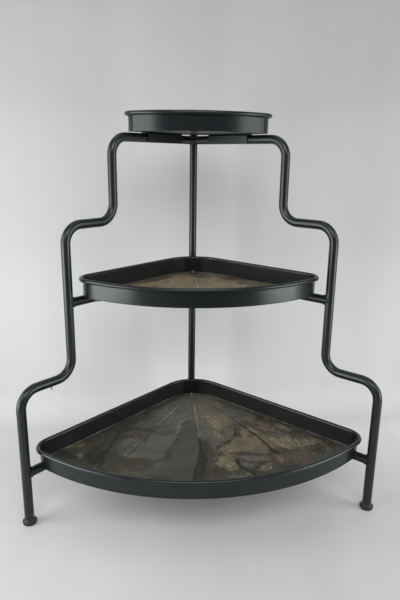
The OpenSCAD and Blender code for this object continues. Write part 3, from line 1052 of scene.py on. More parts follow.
@dataclass
class Screws:
    """The screws, with cross recesses in domed heads, and their nuts."""

    plan: StandPlan
    head: float = 4.0  # Radius of a head
    head_height: float = 2.4
    dome: float = 0.62  # Share of the height that the dome falls by at its edge
    foot: tuple = ((0.15, 0.0), (0.0, 0.2), (0.0, 0.9))  # The head's edge: inwards, and height
    head_rings: int = 26
    head_sides: int = 64
    recess: float = 2.2  # Half length of a recess's arms
    arm: float = 0.45  # Half width of the arms
    slope: tuple = (0.3, 0.2)  # Width of the recess's sloping walls, at the ends and the sides
    depth: float = 1.3
    shallow: float = 0.4  # Share of the depth that is lost towards the arms' ends
    shank: float = 2.0  # Radius of a shank
    shank_ends: tuple = (0.3, 0.7, 0.6)  # Shares of it at the chamfered tip and in the head
    shank_sides: int = 32
    plain: tuple = (0.8, 0.2)  # Lengths without a thread at the tip and at the head
    pitch: float = 0.35  # Half of the thread's pitch
    thread: float = 0.18  # Depth of the thread
    nut: float = 3.5  # Half width across the nut's flats
    nut_sides: int = 48
    # Half of the nut's profile: greatest radius, and how far from its face
    nut_edge: tuple = ((1.0, 0.0), (3.6, 0.0), (4.05, 0.35))
    nut_turn: float = 12.0  # Degrees
    # Ends of the shanks and of the nut, from the plane that a head lies on
    corner_shank: tuple = (-8.4, 0.1)
    corner_nut: tuple = (-7.65, -4.5)
    strut_shank: tuple = (0.0, 17.5)
    bracket_shank: tuple = (-12.0, 0.1)
    corner_back: float = 22.0  # From the post's axis forwards to the corner screws
    corner_turns: tuple = (20.0, 65.0)  # How far their heads are turned, in degrees
    strut_turn: float = 30.0
    floor_lift: float = 9.6  # From a strut's centre line to the upper face of the floor
    strut_inset: float = 73.0  # From an upright's axis to the strut screw
    top_lift: float = 12.1  # From the rails' centre line to the top floor's upper face
    bracket_reaches: tuple = (70.0, 132.0)  # From the post's axis to the bracket screws

    def head_shell(self) -> Shell:
        """One head on the plane z = 0: a dome z = h (1 - k (r / R)^2) less the cross recess.

        Returns:
            The head.
        """
        t = full_turn(self.head_sides)
        foot = [(0.2 * self.shank, 0.0), (self.shank, 0.0)]
        foot += [(self.head - inward, z) for inward, z in self.foot]
        rise = self.head * np.linspace(1.0, 0.02, self.head_rings)[1:]
        r = np.concatenate([[pair[0] for pair in foot], rise])
        x, y = np.outer(r, np.cos(t)), np.outer(r, np.sin(t))
        dome = self.head_height * (1 - (np.hypot(x, y) / self.head) ** 2 * self.dome)
        along, across = np.maximum(np.abs(x), np.abs(y)), np.minimum(np.abs(x), np.abs(y))
        end, wall = self.slope
        cut = ramp(-across, -self.arm - wall, -self.arm)
        cut = cut * ramp(-along, -self.recess - end, -self.recess)
        z = dome - self.depth * cut * (1 - self.shallow * along / self.recess)
        z[: len(foot)] = np.array([pair[1] for pair in foot])[:, None]
        return stacked_rings(np.stack([x, y, z], axis=-1))

    def shank_shell(self, low: float, high: float) -> Shell:
        """A shank with a chamfered lower end and shallow thread rings.

        Args:
            low: Height of its lower end.
            high: Height of its upper end.

        Returns:
            The shank.
        """
        heights = np.arange(low + self.plain[0], high - self.plain[1], self.pitch)
        radii = self.shank - self.thread * (np.arange(len(heights)) % 2)
        tip, chamfer, neck = (self.shank * share for share in self.shank_ends)
        profile = [(tip, low), (chamfer, low), *zip(radii.tolist(), heights.tolist()), (neck, high)]
        return stacked_rings(turned(profile, self.shank_sides))

    def nut_shell(self, low: float, high: float) -> Shell:
        """A six-sided nut, r = n / cos(t mod 60 - 30 degrees), with its corners turned back.

        Args:
            low: Height of its lower face.
            high: Height of its upper face.

        Returns:
            The nut.
        """
        t = full_turn(self.nut_sides)
        flat = self.nut / np.cos((t % (np.pi / 3)) - np.pi / 6)
        limit, inward = np.array(self.nut_edge).T
        limit = np.concatenate([limit, limit[::-1]])
        heights = np.concatenate([low + inward, high - inward[::-1]])
        r = np.minimum(flat[None, :], limit[:, None])
        z = np.repeat(heights[:, None], len(t), axis=1)
        return stacked_rings(np.stack([r * np.cos(t), r * np.sin(t), z], axis=-1))

    def build(self, zinc: Material, paint: Material) -> None:
        """Makes all the screws.

        Args:
            zinc: Finish of the corner screws.
            paint: Finish of the painted screws.
        """
        plan = self.plan
        shells = []
        for (_, _, z), turn in zip(plan.tiers, self.corner_turns):
            place = (0.0, plan.post_y - self.corner_back, z + self.floor_lift)
            shells += [self.head_shell().placed(place, turn),
                       self.shank_shell(*self.corner_shank).placed(place),
                       self.nut_shell(*self.corner_nut).placed(place, self.nut_turn)]
        piece = add_piece("corner_screws_cut", joined(shells), zinc)
        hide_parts("corner_screws")
        for tier, reach, z in plan.tiers:
            shells = []
            for side in Side:
                place = plan.along(reach - self.strut_inset, side, z - plan.tube_radius)
                turn = self.strut_turn * side.value
                shells += [self.head_shell().placed(place, turn, flip=True),
                           self.shank_shell(*self.strut_shank).placed(place)]
            piece = add_piece(f"{tier}_strut_screws_cut", joined(shells), paint)
            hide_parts(f"{tier}_strut_screws")
        shells = []
        for side in Side:
            for reach in self.bracket_reaches:
                place = plan.along(reach, side, plan.rail_z + self.top_lift)
                shells += [self.head_shell().placed(place, reach * side.value),
                           self.shank_shell(*self.bracket_shank).placed(place)]
        piece = add_piece("top_bracket_screws_cut", joined(shells), paint)
        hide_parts("top_bracket_screws")


@dataclass
class Patch:
    """An uneven patch on a tray's floor."""

    x: float  # Its middle, to the right of the post's axis
    y: float  # Its middle, behind the post's axis
    long: float  # Half size along its own direction
    wide: float  # Half size across it
    turn: float = 0.0  # Its direction in degrees from the x axis
    strength: float = 1.0
    soft: float = 0.4  # Half width of its soft edge, as a share of its size
    ragged: float = 1.3  # How far its edge strays, as a share of its size
    reach: float = 1.1  # Its size, as a share of the half sizes

    def mask(self, x: np.ndarray, y: np.ndarray, rough: np.ndarray) -> np.ndarray:
        """Strength of the patch: full where hypot(u / a, v / b) is small, with a ragged edge.

        Args:
            x: Positions to the right of the post's axis.
            y: Positions behind the post's axis.
            rough: Relief from 0 to 1 that strays the edge.

        Returns:
            The strengths, with the shape of x.
        """
        c, s = math.cos(math.radians(self.turn)), math.sin(math.radians(self.turn))
        dx, dy = x - self.x, y - self.y
        u, v = (c * dx + s * dy) / self.long, (c * dy - s * dx) / self.wide
        away = np.hypot(u, v) + self.ragged * (rough - 0.5)
        return self.strength * ramp(-away, -self.reach - self.soft, -self.reach + self.soft)


@dataclass
class Stroke:
    """A line on a tray's floor."""

    points: list[tuple[float, float]]  # From the post's axis
    width: float  # Half width
    strength: float = 1.0
    end: float | None = None  # Strength at its end, where it differs
    stray: float = 4.0  # How far it strays to its sides
    edges: tuple[float, float] = (0.4, 1.6)  # Full and no strength, as shares of the half width

    def mask(self, x: np.ndarray, y: np.ndarray, rough: np.ndarray) -> np.ndarray:
        """Strength of the line: full at its middle, falling off with the distance to its pieces.

        Args:
            x: Positions to the right of the post's axis.
            y: Positions behind the post's axis.
            rough: Relief from 0 to 1 that strays the line.

        Returns:
            The strengths, with the shape of x.
        """
        other = np.roll(rough, 5, axis=1)
        x, y = x + self.stray * (rough - 0.5), y + self.stray * (other - 0.5)
        last = self.strength if self.end is None else self.end
        count = len(self.points) - 1
        best = np.zeros(x.shape)
        full, none = (share * self.width for share in self.edges)
        for k, ((ax, ay), (bx, by)) in enumerate(zip(self.points, self.points[1:])):
            dx, dy = bx - ax, by - ay
            t = np.clip(((x - ax) * dx + (y - ay) * dy) / (dx * dx + dy * dy), 0, 1)
            away = np.hypot(x - ax - t * dx, y - ay - t * dy)
            level = self.strength + (last - self.strength) * (k + t) / count
            best = np.maximum(best, level * ramp(-away, -none, -full))
        return best


@dataclass
class FloorCoat:
    """The aged coat on one tray's floor, inside its wall."""

    tier: str
    side: float  # Straight side of the tray, from its sharp corner
    floor_z: float  # Height of the floor's upper face
    crease_gap: float  # From the creases' end to the wall's front
    seed: int
    rows: int  # From the corner to the front
    columns: int
    patches: dict[Mark, tuple]
    strokes: dict[Mark, tuple]
    lift: float = 0.18  # Height of the coat above the floor
    skirt: float = 0.3  # How far its edge runs down into the floor
    inset: float = 1.5  # Distance of its edge from the wall's outer face
    apex_radius: float = 74.0  # Radius of the tray's rounded corner
    tip_radius: float = 30.0  # Radius of its rounded tips
    apex_back: float = 15.552  # The sharp corner behind the post's axis
    crease_angle: float = 26.0  # Between the creases, in degrees
    crease_start: float = 86.0  # From the post's axis
    crease_radius: float = 4.0  # Radius of a crease's rounded back
    crease_height: float = 1.3  # Height of the back above the floor
    crease_taper: float = 14.0  # Length of the tapers
    crease_sunk: float = 0.15  # How far below the floor a crease starts
    crowding: float = 2.6  # How much closer the columns lie at the creases
    crowd_share: float = 0.93  # A crease's angle from the sharp corner, as a share of its own
    crowd_wide: float = 1.9  # Half width of a crowd in degrees
    drift: float = 18.0  # How far the patches' outlines drift
    drift_size: float = 38.0  # Sizes of lumps
    rough_size: float = 30.0
    fine_size: float = 9.0
    crust_size: float = 4.0
    crust: float = 0.5  # Heights of the relief
    grain: float = 0.12
    flake: float = 0.1
    seam: float = 1.3  # From the straight sides to the pale seam and to the painted shade line
    shade: float = 6.0

    def outline(self, angle: np.ndarray) -> tuple[np.ndarray, np.ndarray]:
        """Near and far ends of the floor on rays from its sharp corner.

        A ray from the corner meets a circle at r = d.e -+ sqrt((d.e)^2 - |d|^2 + R^2), where e is
        the ray and d the circle's centre. The near end lies on the rounded corner, and the far
        end on the front arc or on a rounded tip, whichever comes first.

        Args:
            angle: Angles of the rays from the middle line, in radians.

        Returns:
            The distances of the near and the far ends.
        """
        shift = self.inset * math.sqrt(2)
        ray = np.stack([np.sin(angle), -np.cos(angle)])

        def meet(centre: tuple[float, float], radius: float, sign: int) -> np.ndarray:
            """Finds where the rays meet a circle that the inset makes smaller.

            Args:
                centre: The circle's centre, without the inset.
                radius: Its radius, without the inset.
                sign: -1 for the near meeting point, 1 for the far one.

            Returns:
                The distance along each ray.
            """
            d = np.array([centre[0], centre[1] + shift])
            along = d @ ray
            reach = radius - self.inset
            return along + sign * np.sqrt(np.maximum(along**2 - d @ d + reach**2, 0.0))

        run = math.sqrt((self.side - self.tip_radius) ** 2 - self.tip_radius**2)
        narrow, wide = run - self.tip_radius, run + self.tip_radius
        half = math.sqrt(0.5)
        near = meet((0.0, -self.apex_radius * math.sqrt(2)), self.apex_radius, -1)
        front = meet((0.0, 0.0), self.side, 1)
        left, right = (
            meet((sign * narrow * half, -wide * half), self.tip_radius, 1) for sign in (-1, 1)
        )
        tips = np.minimum(front, np.maximum(left, right))
        return near, np.where(np.abs(angle) > math.atan2(narrow, wide), tips, front)

    def angles(self) -> np.ndarray:
        """Spaces the grid's rays, crowded together round the creases.

        Returns:
            Their angles in radians.
        """
        a = np.linspace(-45.0, 45.0, 2001)
        crowd = sum(
            np.exp(-(((a - c * self.crowd_share * self.crease_angle) / self.crowd_wide) ** 2))
            for c in (-1, 0, 1)
        )
        steps = np.cumsum(1.0 + self.crowding * (crowd[1:] + crowd[:-1]) / 2)
        total = np.concatenate([[0.0], steps])
        return np.radians(np.interp(np.linspace(0, total[-1], self.columns), total, a))

    def crease(self, x: np.ndarray, y: np.ndarray) -> np.ndarray:
        """Height of the three creases: h = sqrt(r^2 - d^2) - (R - H) where that is above 0.

        Here d is the distance from a crease's line, and r grows to R over the tapers.

        Args:
            x: Positions to the right of the post's axis.
            y: Positions behind the post's axis.

        Returns:
            The heights, with the shape of x.
        """
        small = self.crease_radius - self.crease_height - self.crease_sunk
        stop = self.side - self.apex_back - self.crease_gap
        height = np.zeros(x.shape)
        for turn in (-self.crease_angle, 0.0, self.crease_angle):
            c, s = math.cos(math.radians(turn)), math.sin(math.radians(turn))
            along, across = x * s - y * c, x * c + y * s
            ends = np.minimum(along - self.crease_start, stop - along)
            grow = np.clip(ends / self.crease_taper, -1, 1)
            r = small + (self.crease_radius - small) * grow
            back = np.sqrt(np.maximum(r * r - across**2, 0.0))
            back = back - self.crease_radius + self.crease_height
            height = np.maximum(height, np.where(grow > 0, back, 0.0))
        return height

    def marked(self, x: np.ndarray, y: np.ndarray, rough: np.ndarray, fine: np.ndarray,
               edge: np.ndarray) -> dict[Mark, np.ndarray]:
        """Adds up the patches and strokes, with a pale line and a painted shade line by the wall.

        Args:
            x: Positions to the right of the post's axis.
            y: Positions behind the post's axis.
            rough: Coarse relief from 0 to 1.
            fine: Fine relief from 0 to 1.
            edge: Distance from the straight sides.

        Returns:
            The strength of each mark, 0 to 1.
        """
        drift_x, drift_y = (
            self.drift * (lumps(x, y, self.drift_size, self.seed + more, 5) - 0.5)
            for more in (5, 6)
        )
        frayed = rough * 0.4 + fine * 0.6
        marks = {mark: np.zeros(x.shape) for mark in Mark}
        for mark, rows in self.patches.items():
            for row in rows:
                marks[mark] += Patch(*row).mask(x + drift_x, y + drift_y, frayed)
        for mark, rows in self.strokes.items():
            for row in rows:
                marks[mark] += Stroke(*row).mask(x, y, fine)
        seam = ramp(-np.abs(edge - self.seam), -2.2, -0.9) * ramp(rough, 0.2, 0.55)
        # Painted shade: a dark line along the straight sides, near the wall's foot
        shade = ramp(-np.abs(edge - self.shade), -4.0, -1.0) * ramp(fine, 0.3, 0.6)
        marks[Mark.LINE] *= 0.45 + 0.55 * ramp(fine, 0.35, 0.6)
        marks[Mark.LINE] += 0.95 * seam
        marks[Mark.DARK] += 0.3 * shade
        return {mark: np.clip(values, 0, 1) for mark, values in marks.items()}

    def build(self, coat: Material, post_y: float) -> None:
        """Makes the coat: a relief on top of a flat closed skin.

        Args:
            coat: Its material.
            post_y: Distance of the post's axis behind the frame's origin.
        """
        angle = self.angles()
        near, far = self.outline(angle)
        r = near + np.linspace(0, 1, self.rows)[:, None] * (far - near)
        x = r * np.sin(angle)
        y = self.apex_back - self.inset * math.sqrt(2) - r * np.cos(angle)
        rough = lumps(x, y, self.rough_size, self.seed)
        fine = lumps(x, y, self.fine_size, self.seed + 1)
        marks = self.marked(x, y, rough, fine, r * np.sin(math.pi / 4 - np.abs(angle)))
        crust = marks[Mark.LIME] * ramp(lumps(x, y, self.crust_size, self.seed + 2), 0.45, 0.7)
        relief = self.lift + self.crease(x, y) + self.crust * crust + self.grain * fine
        relief += self.flake * marks[Mark.SLATE] - self.flake * marks[Mark.DARK]
        points = np.stack([x, y + post_y, self.floor_z + relief], axis=-1).reshape(-1, 3)
        number = np.arange(x.size).reshape(x.shape)
        rim = np.concatenate([number[0, :-1], number[:-1, -1], number[-1, :0:-1], number[:0:-1, 0]])
        skirt = points[rim].copy()
        skirt[:, 2] = self.floor_z - self.skirt
        low = len(points) + np.arange(len(rim))
        around = np.stack([rim, np.roll(rim, -1), np.roll(low, -1), low], axis=1)
        faces = grid_faces(*x.shape)[:, ::-1].tolist() + around[:, ::-1].tolist() + [low.tolist()]
        values = {
            mark.value: np.concatenate([v.reshape(-1), v.reshape(-1)[rim]])
            for mark, v in marks.items()
        }
        shell = Shell(np.concatenate([points, skirt]), faces)
        add_piece(f"{self.tier}_floor_coat", shell, coat, sharp=60.0, marks=values)


# What lies on each tray's floor. A patch's row is x, y, half length, half width, turn, strength,
# soft edge and raggedness. A stroke's is its points, half width, strength, strength at its end and
# stray. What has its usual value is left out at the end of a row.
LOWER_PATCHES = {
    Mark.GREY: (
        (-30, -105, 78, 34, 75, 0.9), (-92, -160, 44, 26, 35, 0.75),
        (-142, -264, 34, 24, 80, 0.75, 0.2, 0.6), (-84, -255, 62, 26, 72, 1.0, 0.2, 0.5),
        (-128, -299, 24, 10, -20, 0.8), (-95, -350, 52, 26, 12, 0.6),
        (-236, -290, 16, 12, 60, 0.8, 0.2, 0.5), (-30, -160, 34, 24, 60, 0.7),
        (24, -60, 50, 26, 80, 0.8), (28, -150, 112, 27, 88, 1.0, 0.3, 0.6),
        (48, -225, 36, 24, 80, 0.9), (72, -128, 60, 15, -62, 0.7), (105, -140, 40, 15, -50, 0.65),
        (152, -240, 15, 9, 30, 1.0, 0.2, 0.5), (100, -325, 27, 12, -10, 1.0, 0.2, 0.6),
        (90, -344, 14, 10, -20, 1.0, 0.2, 0.5), (214, -270, 26, 16, -10, 0.6),
        (64, -380, 24, 7, 8), (128, -283, 8, 20, 20, 0.8), (288, -302, 16, 10, 20, 0.6),
        (175, -226, 24, 12, -40, 0.6), (-84, -118, 34, 16, 50, 0.5),
    ),
    Mark.SLATE: (
        (-33, -310, 92, 28, 80, 1.0, 0.3, 0.5), (-70, -214, 30, 9, 6), (-20, -235, 22, 16, 85),
        (-18, -182, 20, 15, 80, 0.8), (-62, -352, 40, 22, 12, 0.8), (40, -30, 24, 12, -20, 0.6),
        (222, -338, 40, 9, 32, 0.7), (-120, -170, 20, 8, 30, 0.5), (278, -292, 12, 20, 40, 0.8),
    ),
    Mark.PALE: (
        (40, -140, 110, 36, 84, 0.36, 0.5), (82, -185, 60, 24, -60, 0.36, 0.5),
        (132, -236, 22, 9, -58, 0.9), (150, -260, 20, 14, 0, 0.7), (146, -205, 24, 11, -45, 0.55),
        (122, -166, 24, 8, -50, 0.4), (90, -318, 60, 20, 0, 0.3),
        (205, -320, 60, 24, 20, 0.35, 0.6), (-45, -135, 16, 4, -40, 0.5), (-6, -67, 8, 5, 0, 0.6),
        (-240, -253, 30, 8, 12, 0.85), (-238, -291, 9, 8, 0, 0.9, 0.3),
        (-136, -300, 20, 5, -15, 0.6), (0, -223, 4, 14, 0, 0.9), (60, -170, 26, 8, 80, 0.4),
        (38, -195, 30, 10, 96, 0.4), (96, -228, 7, 20, 5), (92, -262, 38, 17, 10, 1.0, 0.25, 0.7),
        (70, -283, 34, 17, 5), (110, -282, 26, 15, -30, 0.7), (178, -265, 18, 28, 20, 0.9),
        (121, -216, 21, 4.5, -53, 1.0, 0.3, 0.5), (44, -335, 20, 24, 0, 0.75),
        (195, -205, 22, 13, -40, 0.45), (225, -266, 32, 13, -10, 0.5), (154, -330, 4, 15, 0, 0.8),
        (126, -356, 16, 8, 8, 0.5), (20, -380, 14, 5, 5, 0.6), (150, -282, 17, 15, 0, 0.6),
        (122, -222, 20, 14, -50, 0.5), (168, -206, 32, 11, -45, 0.45),
    ),
    Mark.BROWN: (
        (-136, -212, 30, 15, -4, 0.9, 0.15, 0.5), (-204, -250, 70, 30, 62, 0.9),
        (-124, -331, 30, 20, 8), (-168, -322, 22, 28, 20, 0.8), (-200, -300, 34, 16, 70),
        (-165, -158, 34, 10, 40, 0.7), (-40, -42, 22, 10, 42, 0.5), (-70, -76, 26, 8, 42, 0.5),
        (12, -312, 60, 8, 88, 1.0, 0.25, 0.6), (30, -374, 44, 9, 5, 0.8),
        (162, -306, 14, 20, 20, 0.6), (236, -303, 18, 13, 20), (262, -275, 14, 24, 20, 0.8),
        (-262, -292, 26, 9, -35, 0.8), (146, -354, 26, 8, 8, 0.8), (200, -236, 44, 7, -42, 0.7),
        (98, -307, 36, 5, -6, 0.9), (178, -178, 40, 8, -44, 0.7),
    ),
    Mark.RUST: (
        (-136, -210, 22, 11, -4, 0.7), (118, -186, 13, 9, 0, 0.7), (160, -167, 16, 8, -35, 0.9),
        (196, -322, 26, 18, 15, 0.9), (135, -316, 12, 9, 0, 0.7), (76, -272, 14, 8, 20, 0.35),
        (140, -338, 10, 6, 0, 0.6), (210, -250, 20, 6, -30, 0.5),
    ),
    Mark.MOTTLE: (
        (180, -235, 110, 40, -44), (85, -290, 60, 30, 0, 0.35), (60, -350, 50, 34, 0, 0.9),
        (40, -190, 60, 20, 90, 0.6), (245, -285, 50, 30, 20), (110, -140, 70, 22, -45, 0.5),
        (-136, -212, 30, 15, -4, 0.9), (-215, -260, 60, 26, 60, 0.5),
        (-150, -345, 60, 26, 10, 0.4), (-100, -110, 70, 16, 42, 0.3),
    ),
    Mark.DARK: (
        (-212, -294, 26, 20, 60, 0.32, 0.5), (-182, -340, 18, 13, 0, 0.3, 0.5),
        (-3, -328, 36, 7, 84, 0.5, 0.3), (-152, -282, 18, 14, 0, 0.14, 0.6),
        (86, -342, 20, 10, 0, 0.16, 0.5), (-238, -250, 16, 12, 0, 0.2, 0.5),
        (-215, -285, 70, 50, 60, 0.24, 0.6), (-140, -195, 60, 22, 30, 0.22, 0.6),
        (-20, -372, 120, 16, 0, 0.2, 0.5), (-128, -300, 60, 30, 0, 0.14, 0.6),
        (-222, -293, 8, 7, 80, 1.2, 0.3, 0.8), (-204, -308, 34, 10, 66, 0.6),
        (-268, -285, 24, 8, -35, 0.5), (-206, -262, 20, 8, 70, 0.45), (-104, -139, 20, 4, 5, 0.55),
        (-112, -150, 12, 4, 30, 0.45), (-150, -196, 14, 3, 0, 0.6), (-172, -160, 30, 4, 42, 0.35),
        (147, -160, 10, 8, 0, 0.65), (168, -174, 10, 4, -30, 0.45), (192, -196, 22, 4, -50, 0.55),
        (206, -226, 16, 4, -40, 0.5), (236, -246, 20, 4, -40, 0.45), (264, -274, 10, 18, 20, 0.4),
        (236, -302, 11, 5, 30, 0.6), (108, -242, 6, 4, 0, 0.5), (127, -192, 7, 5, 0, 0.4),
        (76, -232, 6, 3, 60, 0.6), (54, -258, 8, 4, 20, 0.7), (60, -252, 4, 3, 0, 0.7),
        (136, -314, 8, 5, 0, 0.4), (146, -246, 3, 2, 0, 0.8, 0.3, 0.6),
    ),
    Mark.LIME: (
        (38, -150, 30, 11, 95, 0.6), (44, -196, 34, 12, 95, 0.75), (42, -336, 26, 20, 100),
        (178, -268, 20, 28, 20), (220, -268, 30, 14, -8, 0.85), (196, -210, 26, 12, -42, 0.7),
        (42, -288, 26, 12, 10, 0.85), (262, -284, 22, 12, 60, 0.55), (92, -375, 8, 5),
        (122, -358, 16, 9, 12, 0.9), (-168, -338, 26, 14, -20, 0.45), (96, -262, 24, 14, 0, 0.4),
        (152, -250, 16, 8, -40, 0.7), (-236, -254, 18, 6, 12, 0.6), (-136, -212, 26, 12, 0, 0.35),
        (60, -350, 10, 10, 0, 0.6),
    ),
}
LOWER_STROKES = {
    Mark.PALE: (([(-10, -318), (-14, -336), (-22, -362)], 2.6, 0.8, 0.8, 2),),
    Mark.BROWN: (([(119, -228), (133, -264)], 4.0, 0.8), ([(108, -186), (122, -204)], 3, 0.6)),
    Mark.RUST: (([(-10, -328), (-18, -358), (-23, -390)], 4.0, 0.3, 0.7),),
    Mark.DARK: (
        # Painted shadow: the dark line along the flap's edge, and the wide soft shade beside it
        ([(-2, -243), (0, -262), (-2, -286), (-6, -312), (-10, -330), (-17, -358), (-22, -390)],
         2.4, 1.2, 1.2, 1.5),
        ([(4, -246), (7, -270), (4, -305), (-3, -340), (-10, -380)], 7.0, 0.35, 0.45, 6),
        ([(-168, -196), (-173, -227), (-183, -261), (-191, -303), (-198, -338)], 2.6, 0.9, 0.9, 3),
        ([(-168, -196), (-145, -187), (-103, -194), (-98, -208)], 2.2, 0.8),
        ([(65, -326), (66, -340), (68, -350), (76, -358), (87, -369), (92, -380)], 3.6, 1.3),
        ([(66, -325), (79, -329), (93, -338), (112, -344)], 3.0, 1.3, 0.4),
        ([(84, -194), (79, -212), (76, -232), (62, -252), (46, -261), (35, -270), (31, -288),
          (38, -303)],
         2.2, 0.7, 0.6, 7),
        # Painted shade along the right crease: this stroke and the two after it
        ([(36, -72), (49, -101), (62, -128), (80, -159), (90, -180), (104, -204), (119, -230)],
         2.0, 0.4, 1.2, 2.5),
        ([(119, -230), (131, -262)], 2.0, 0.5, 0.7),
        ([(131, -262), (138, -282), (146, -299), (153, -310)], 3.4, 1.3, 1.0),
        ([(122, -204), (132, -218), (141, -231)], 1.8, 0.65),
        ([(60, -302), (95, -306), (134, -311)], 2.4, 0.5, 0.35),
        ([(160, -282), (176, -316)], 1.8, 0.4), ([(-224, -285), (-221, -300)], 4.5),
        # The first stroke here is painted shade along the left crease
        ([(-90, -182), (-151, -306)], 1.6, 0.3, 0.8, 1.5), ([(-7, -318), (-16, -320)], 1.6, 0.5),
        ([(30, -130), (36, -155), (30, -175)], 1.8, 0.35), ([(160, -185), (172, -212)], 2.0, 0.4),
        ([(222, -288), (236, -280), (250, -288), (250, -304), (236, -314)], 2.2, 0.65),
        ([(96, -346), (104, -362)], 1.8, 0.6), ([(150, -362), (190, -346)], 2.0, 0.4),
    ),
    Mark.LINE: (
        # Painted highlights: the straight pale lines that run along the creases' crests
        ([(-241, -286), (-238, -297)], 4.0, 0.5), ([(-34, -80), (-101, -206)], 1.4, 0.7, 0.5, 1.5),
        ([(-107, -214), (-153, -300)], 1.4, 0.45, 0.7, 1.5),
        ([(0, -84), (1, -150)], 1.8, 1.0, 1.0, 1.5), ([(1, -150), (0, -240)], 1.5, 0.6, 0.5, 1.5),
        ([(-10, -145), (-24, -160), (-34, -164)], 3.4, 0.3, 0.3, 8),
        ([(-40, -186), (-44, -216)], 2.6, 0.45, 0.45, 7), ([(-58, -138), (-46, -146)], 2.4, 0.3),
        ([(8, -147), (30, -147)], 2.2, 0.5), ([(36, -70), (96, -182)], 1.2, 0.25),
        ([(-186, -284), (-199, -340)], 2.4, 0.6), ([(-36, -168), (-44, -190)], 1.4, 0.3),
        ([(108, -199), (128, -233)], 2.2, 0.45, 0.3), ([(97, -212), (95, -246)], 2.0, 0.35),
    ),
}
# The brown patch at (0, -36) and the dark one at (0, -34) are painted shade at the post's foot
MIDDLE_PATCHES = {
    Mark.GREY: (
        (46, -62, 40, 18, 80), (-73, -135, 38, 10, 85, 0.9), (26, -136, 40, 11, 88, 0.8),
        (116, -142, 30, 10, 60, 0.8),
    ),
    Mark.PALE: (
        (-36, -150, 50, 30, 75, 1.0, 0.3, 0.7), (12, -160, 60, 30, 0, 0.9),
        (62, -155, 34, 24, 0, 0.95), (-100, -140, 34, 20, 30, 0.8), (-28, -76, 26, 20, 0, 0.5),
        (0, -210, 190, 40, 0, 0.8), (14, -104, 84, 20, 0, 0.62), (82, -104, 26, 18, -40, 0.8),
    ),
    Mark.BROWN: (
        (86, -94, 26, 20, -40, 0.9), (-78, -84, 34, 14, 40, 0.8), (-107, -106, 10, 8, 0, 0.8),
        (0, -36, 14, 16),
    ),
    Mark.MOTTLE: ((0, -150, 150, 70, 0, 0.45),),
    Mark.DARK: (
        (-124, -142, 24, 14, 30, 0.22, 0.5), (-72, -164, 22, 10, 0, 0.12, 0.5),
        (0, -34, 11, 12, 0, 0.8), (79, -93, 7, 6, 0, 0.5), (-140, -190, 30, 16, 40, 0.4),
    ),
    Mark.LIME: (
        (74, -158, 34, 18, -10, 0.6), (-100, -144, 30, 14, 20, 0.6), (-22, -62, 16, 10, 0, 0.5),
        (140, -200, 40, 20, -20, 0.7),
    ),
}
MIDDLE_STROKES = {
    Mark.BROWN: (([(75, -82), (80, -96)], 4.0, 0.7),),
    Mark.DARK: (
        # Painted shade: the lines beside the middle crease and along the right crease
        ([(-6, -98), (-5, -142)], 1.6, 0.6), ([(5, -100), (4, -142)], 1.6, 0.5),
        ([(45, -88), (112, -225)], 1.4, 0.4),
    ),
    # Painted highlights on the crests of the middle and left creases
    Mark.LINE: (([(0, -130), (0, -240)], 1.8, 0.9), ([(-40, -88), (-105, -225)], 1.2, 0.35)),
}
TOP_PATCHES = {
    Mark.GREY: ((-60, -130, 30, 20, 30, 0.8),),
    Mark.SLATE: ((30, -70, 30, 16, -30, 0.7),),
    Mark.PALE: ((-20, -90, 60, 40, 0, 0.7), (50, -130, 40, 26, -10, 0.7)),
    Mark.BROWN: ((80, -110, 30, 16, -40, 0.7),),
    Mark.MOTTLE: ((0, -120, 100, 60, 0, 0.6),),
    Mark.DARK: ((0, -32, 14, 8, 0, 0.6),),
    Mark.LIME: ((20, -150, 50, 20, 0, 0.7),),
}
TOP_STROKES = {
    Mark.DARK: (([(-60, -90), (-20, -150)], 1.6, 0.6),),
    # Painted highlight on the middle crease's crest
    Mark.LINE: (([(0, -90), (0, -160)], 1.4, 0.5),),
}


def standing(side: np.ndarray, up: np.ndarray, back: np.ndarray, place: Place) -> Matrix:
    """Finds the matrix of an object whose x, y and z axes point along side, up and back."""
    rows = np.stack([side, up, back], axis=1)
    return Matrix([[*row, p] for row, p in zip(rows, place)] + [[0, 0, 0, 1]])


@dataclass
class Lamp:
    """One soft rectangular lamp of the studio, with its lengths in metres."""

    name: str
    place: Place
    target: Place  # The point that it faces
    size: tuple[float, float]
    power: float  # Watts
    colour: Colour = (0.97, 0.99, 1.0)

    def build(self) -> None:
        """Makes the lamp."""
        data = bpy.data.lights.new(self.name, "AREA")
        data.shape, data.size, data.size_y = "RECTANGLE", *self.size
        data.energy, data.color = self.power, self.colour
        aim = np.array(self.target) - np.array(self.place)
        back = -aim / np.linalg.norm(aim)
        side = np.cross([0.0, 0.0, 1.0], back)
        length = np.linalg.norm(side)  # 0 for a lamp that faces straight down
        side = side / length if length > 1e-6 else np.array([1.0, 0.0, 0.0])
        lamp = bpy.data.objects.new(self.name, data)
        bpy.context.scene.collection.objects.link(lamp)
        lamp.matrix_world = standing(side, np.cross(back, side), back, self.place)


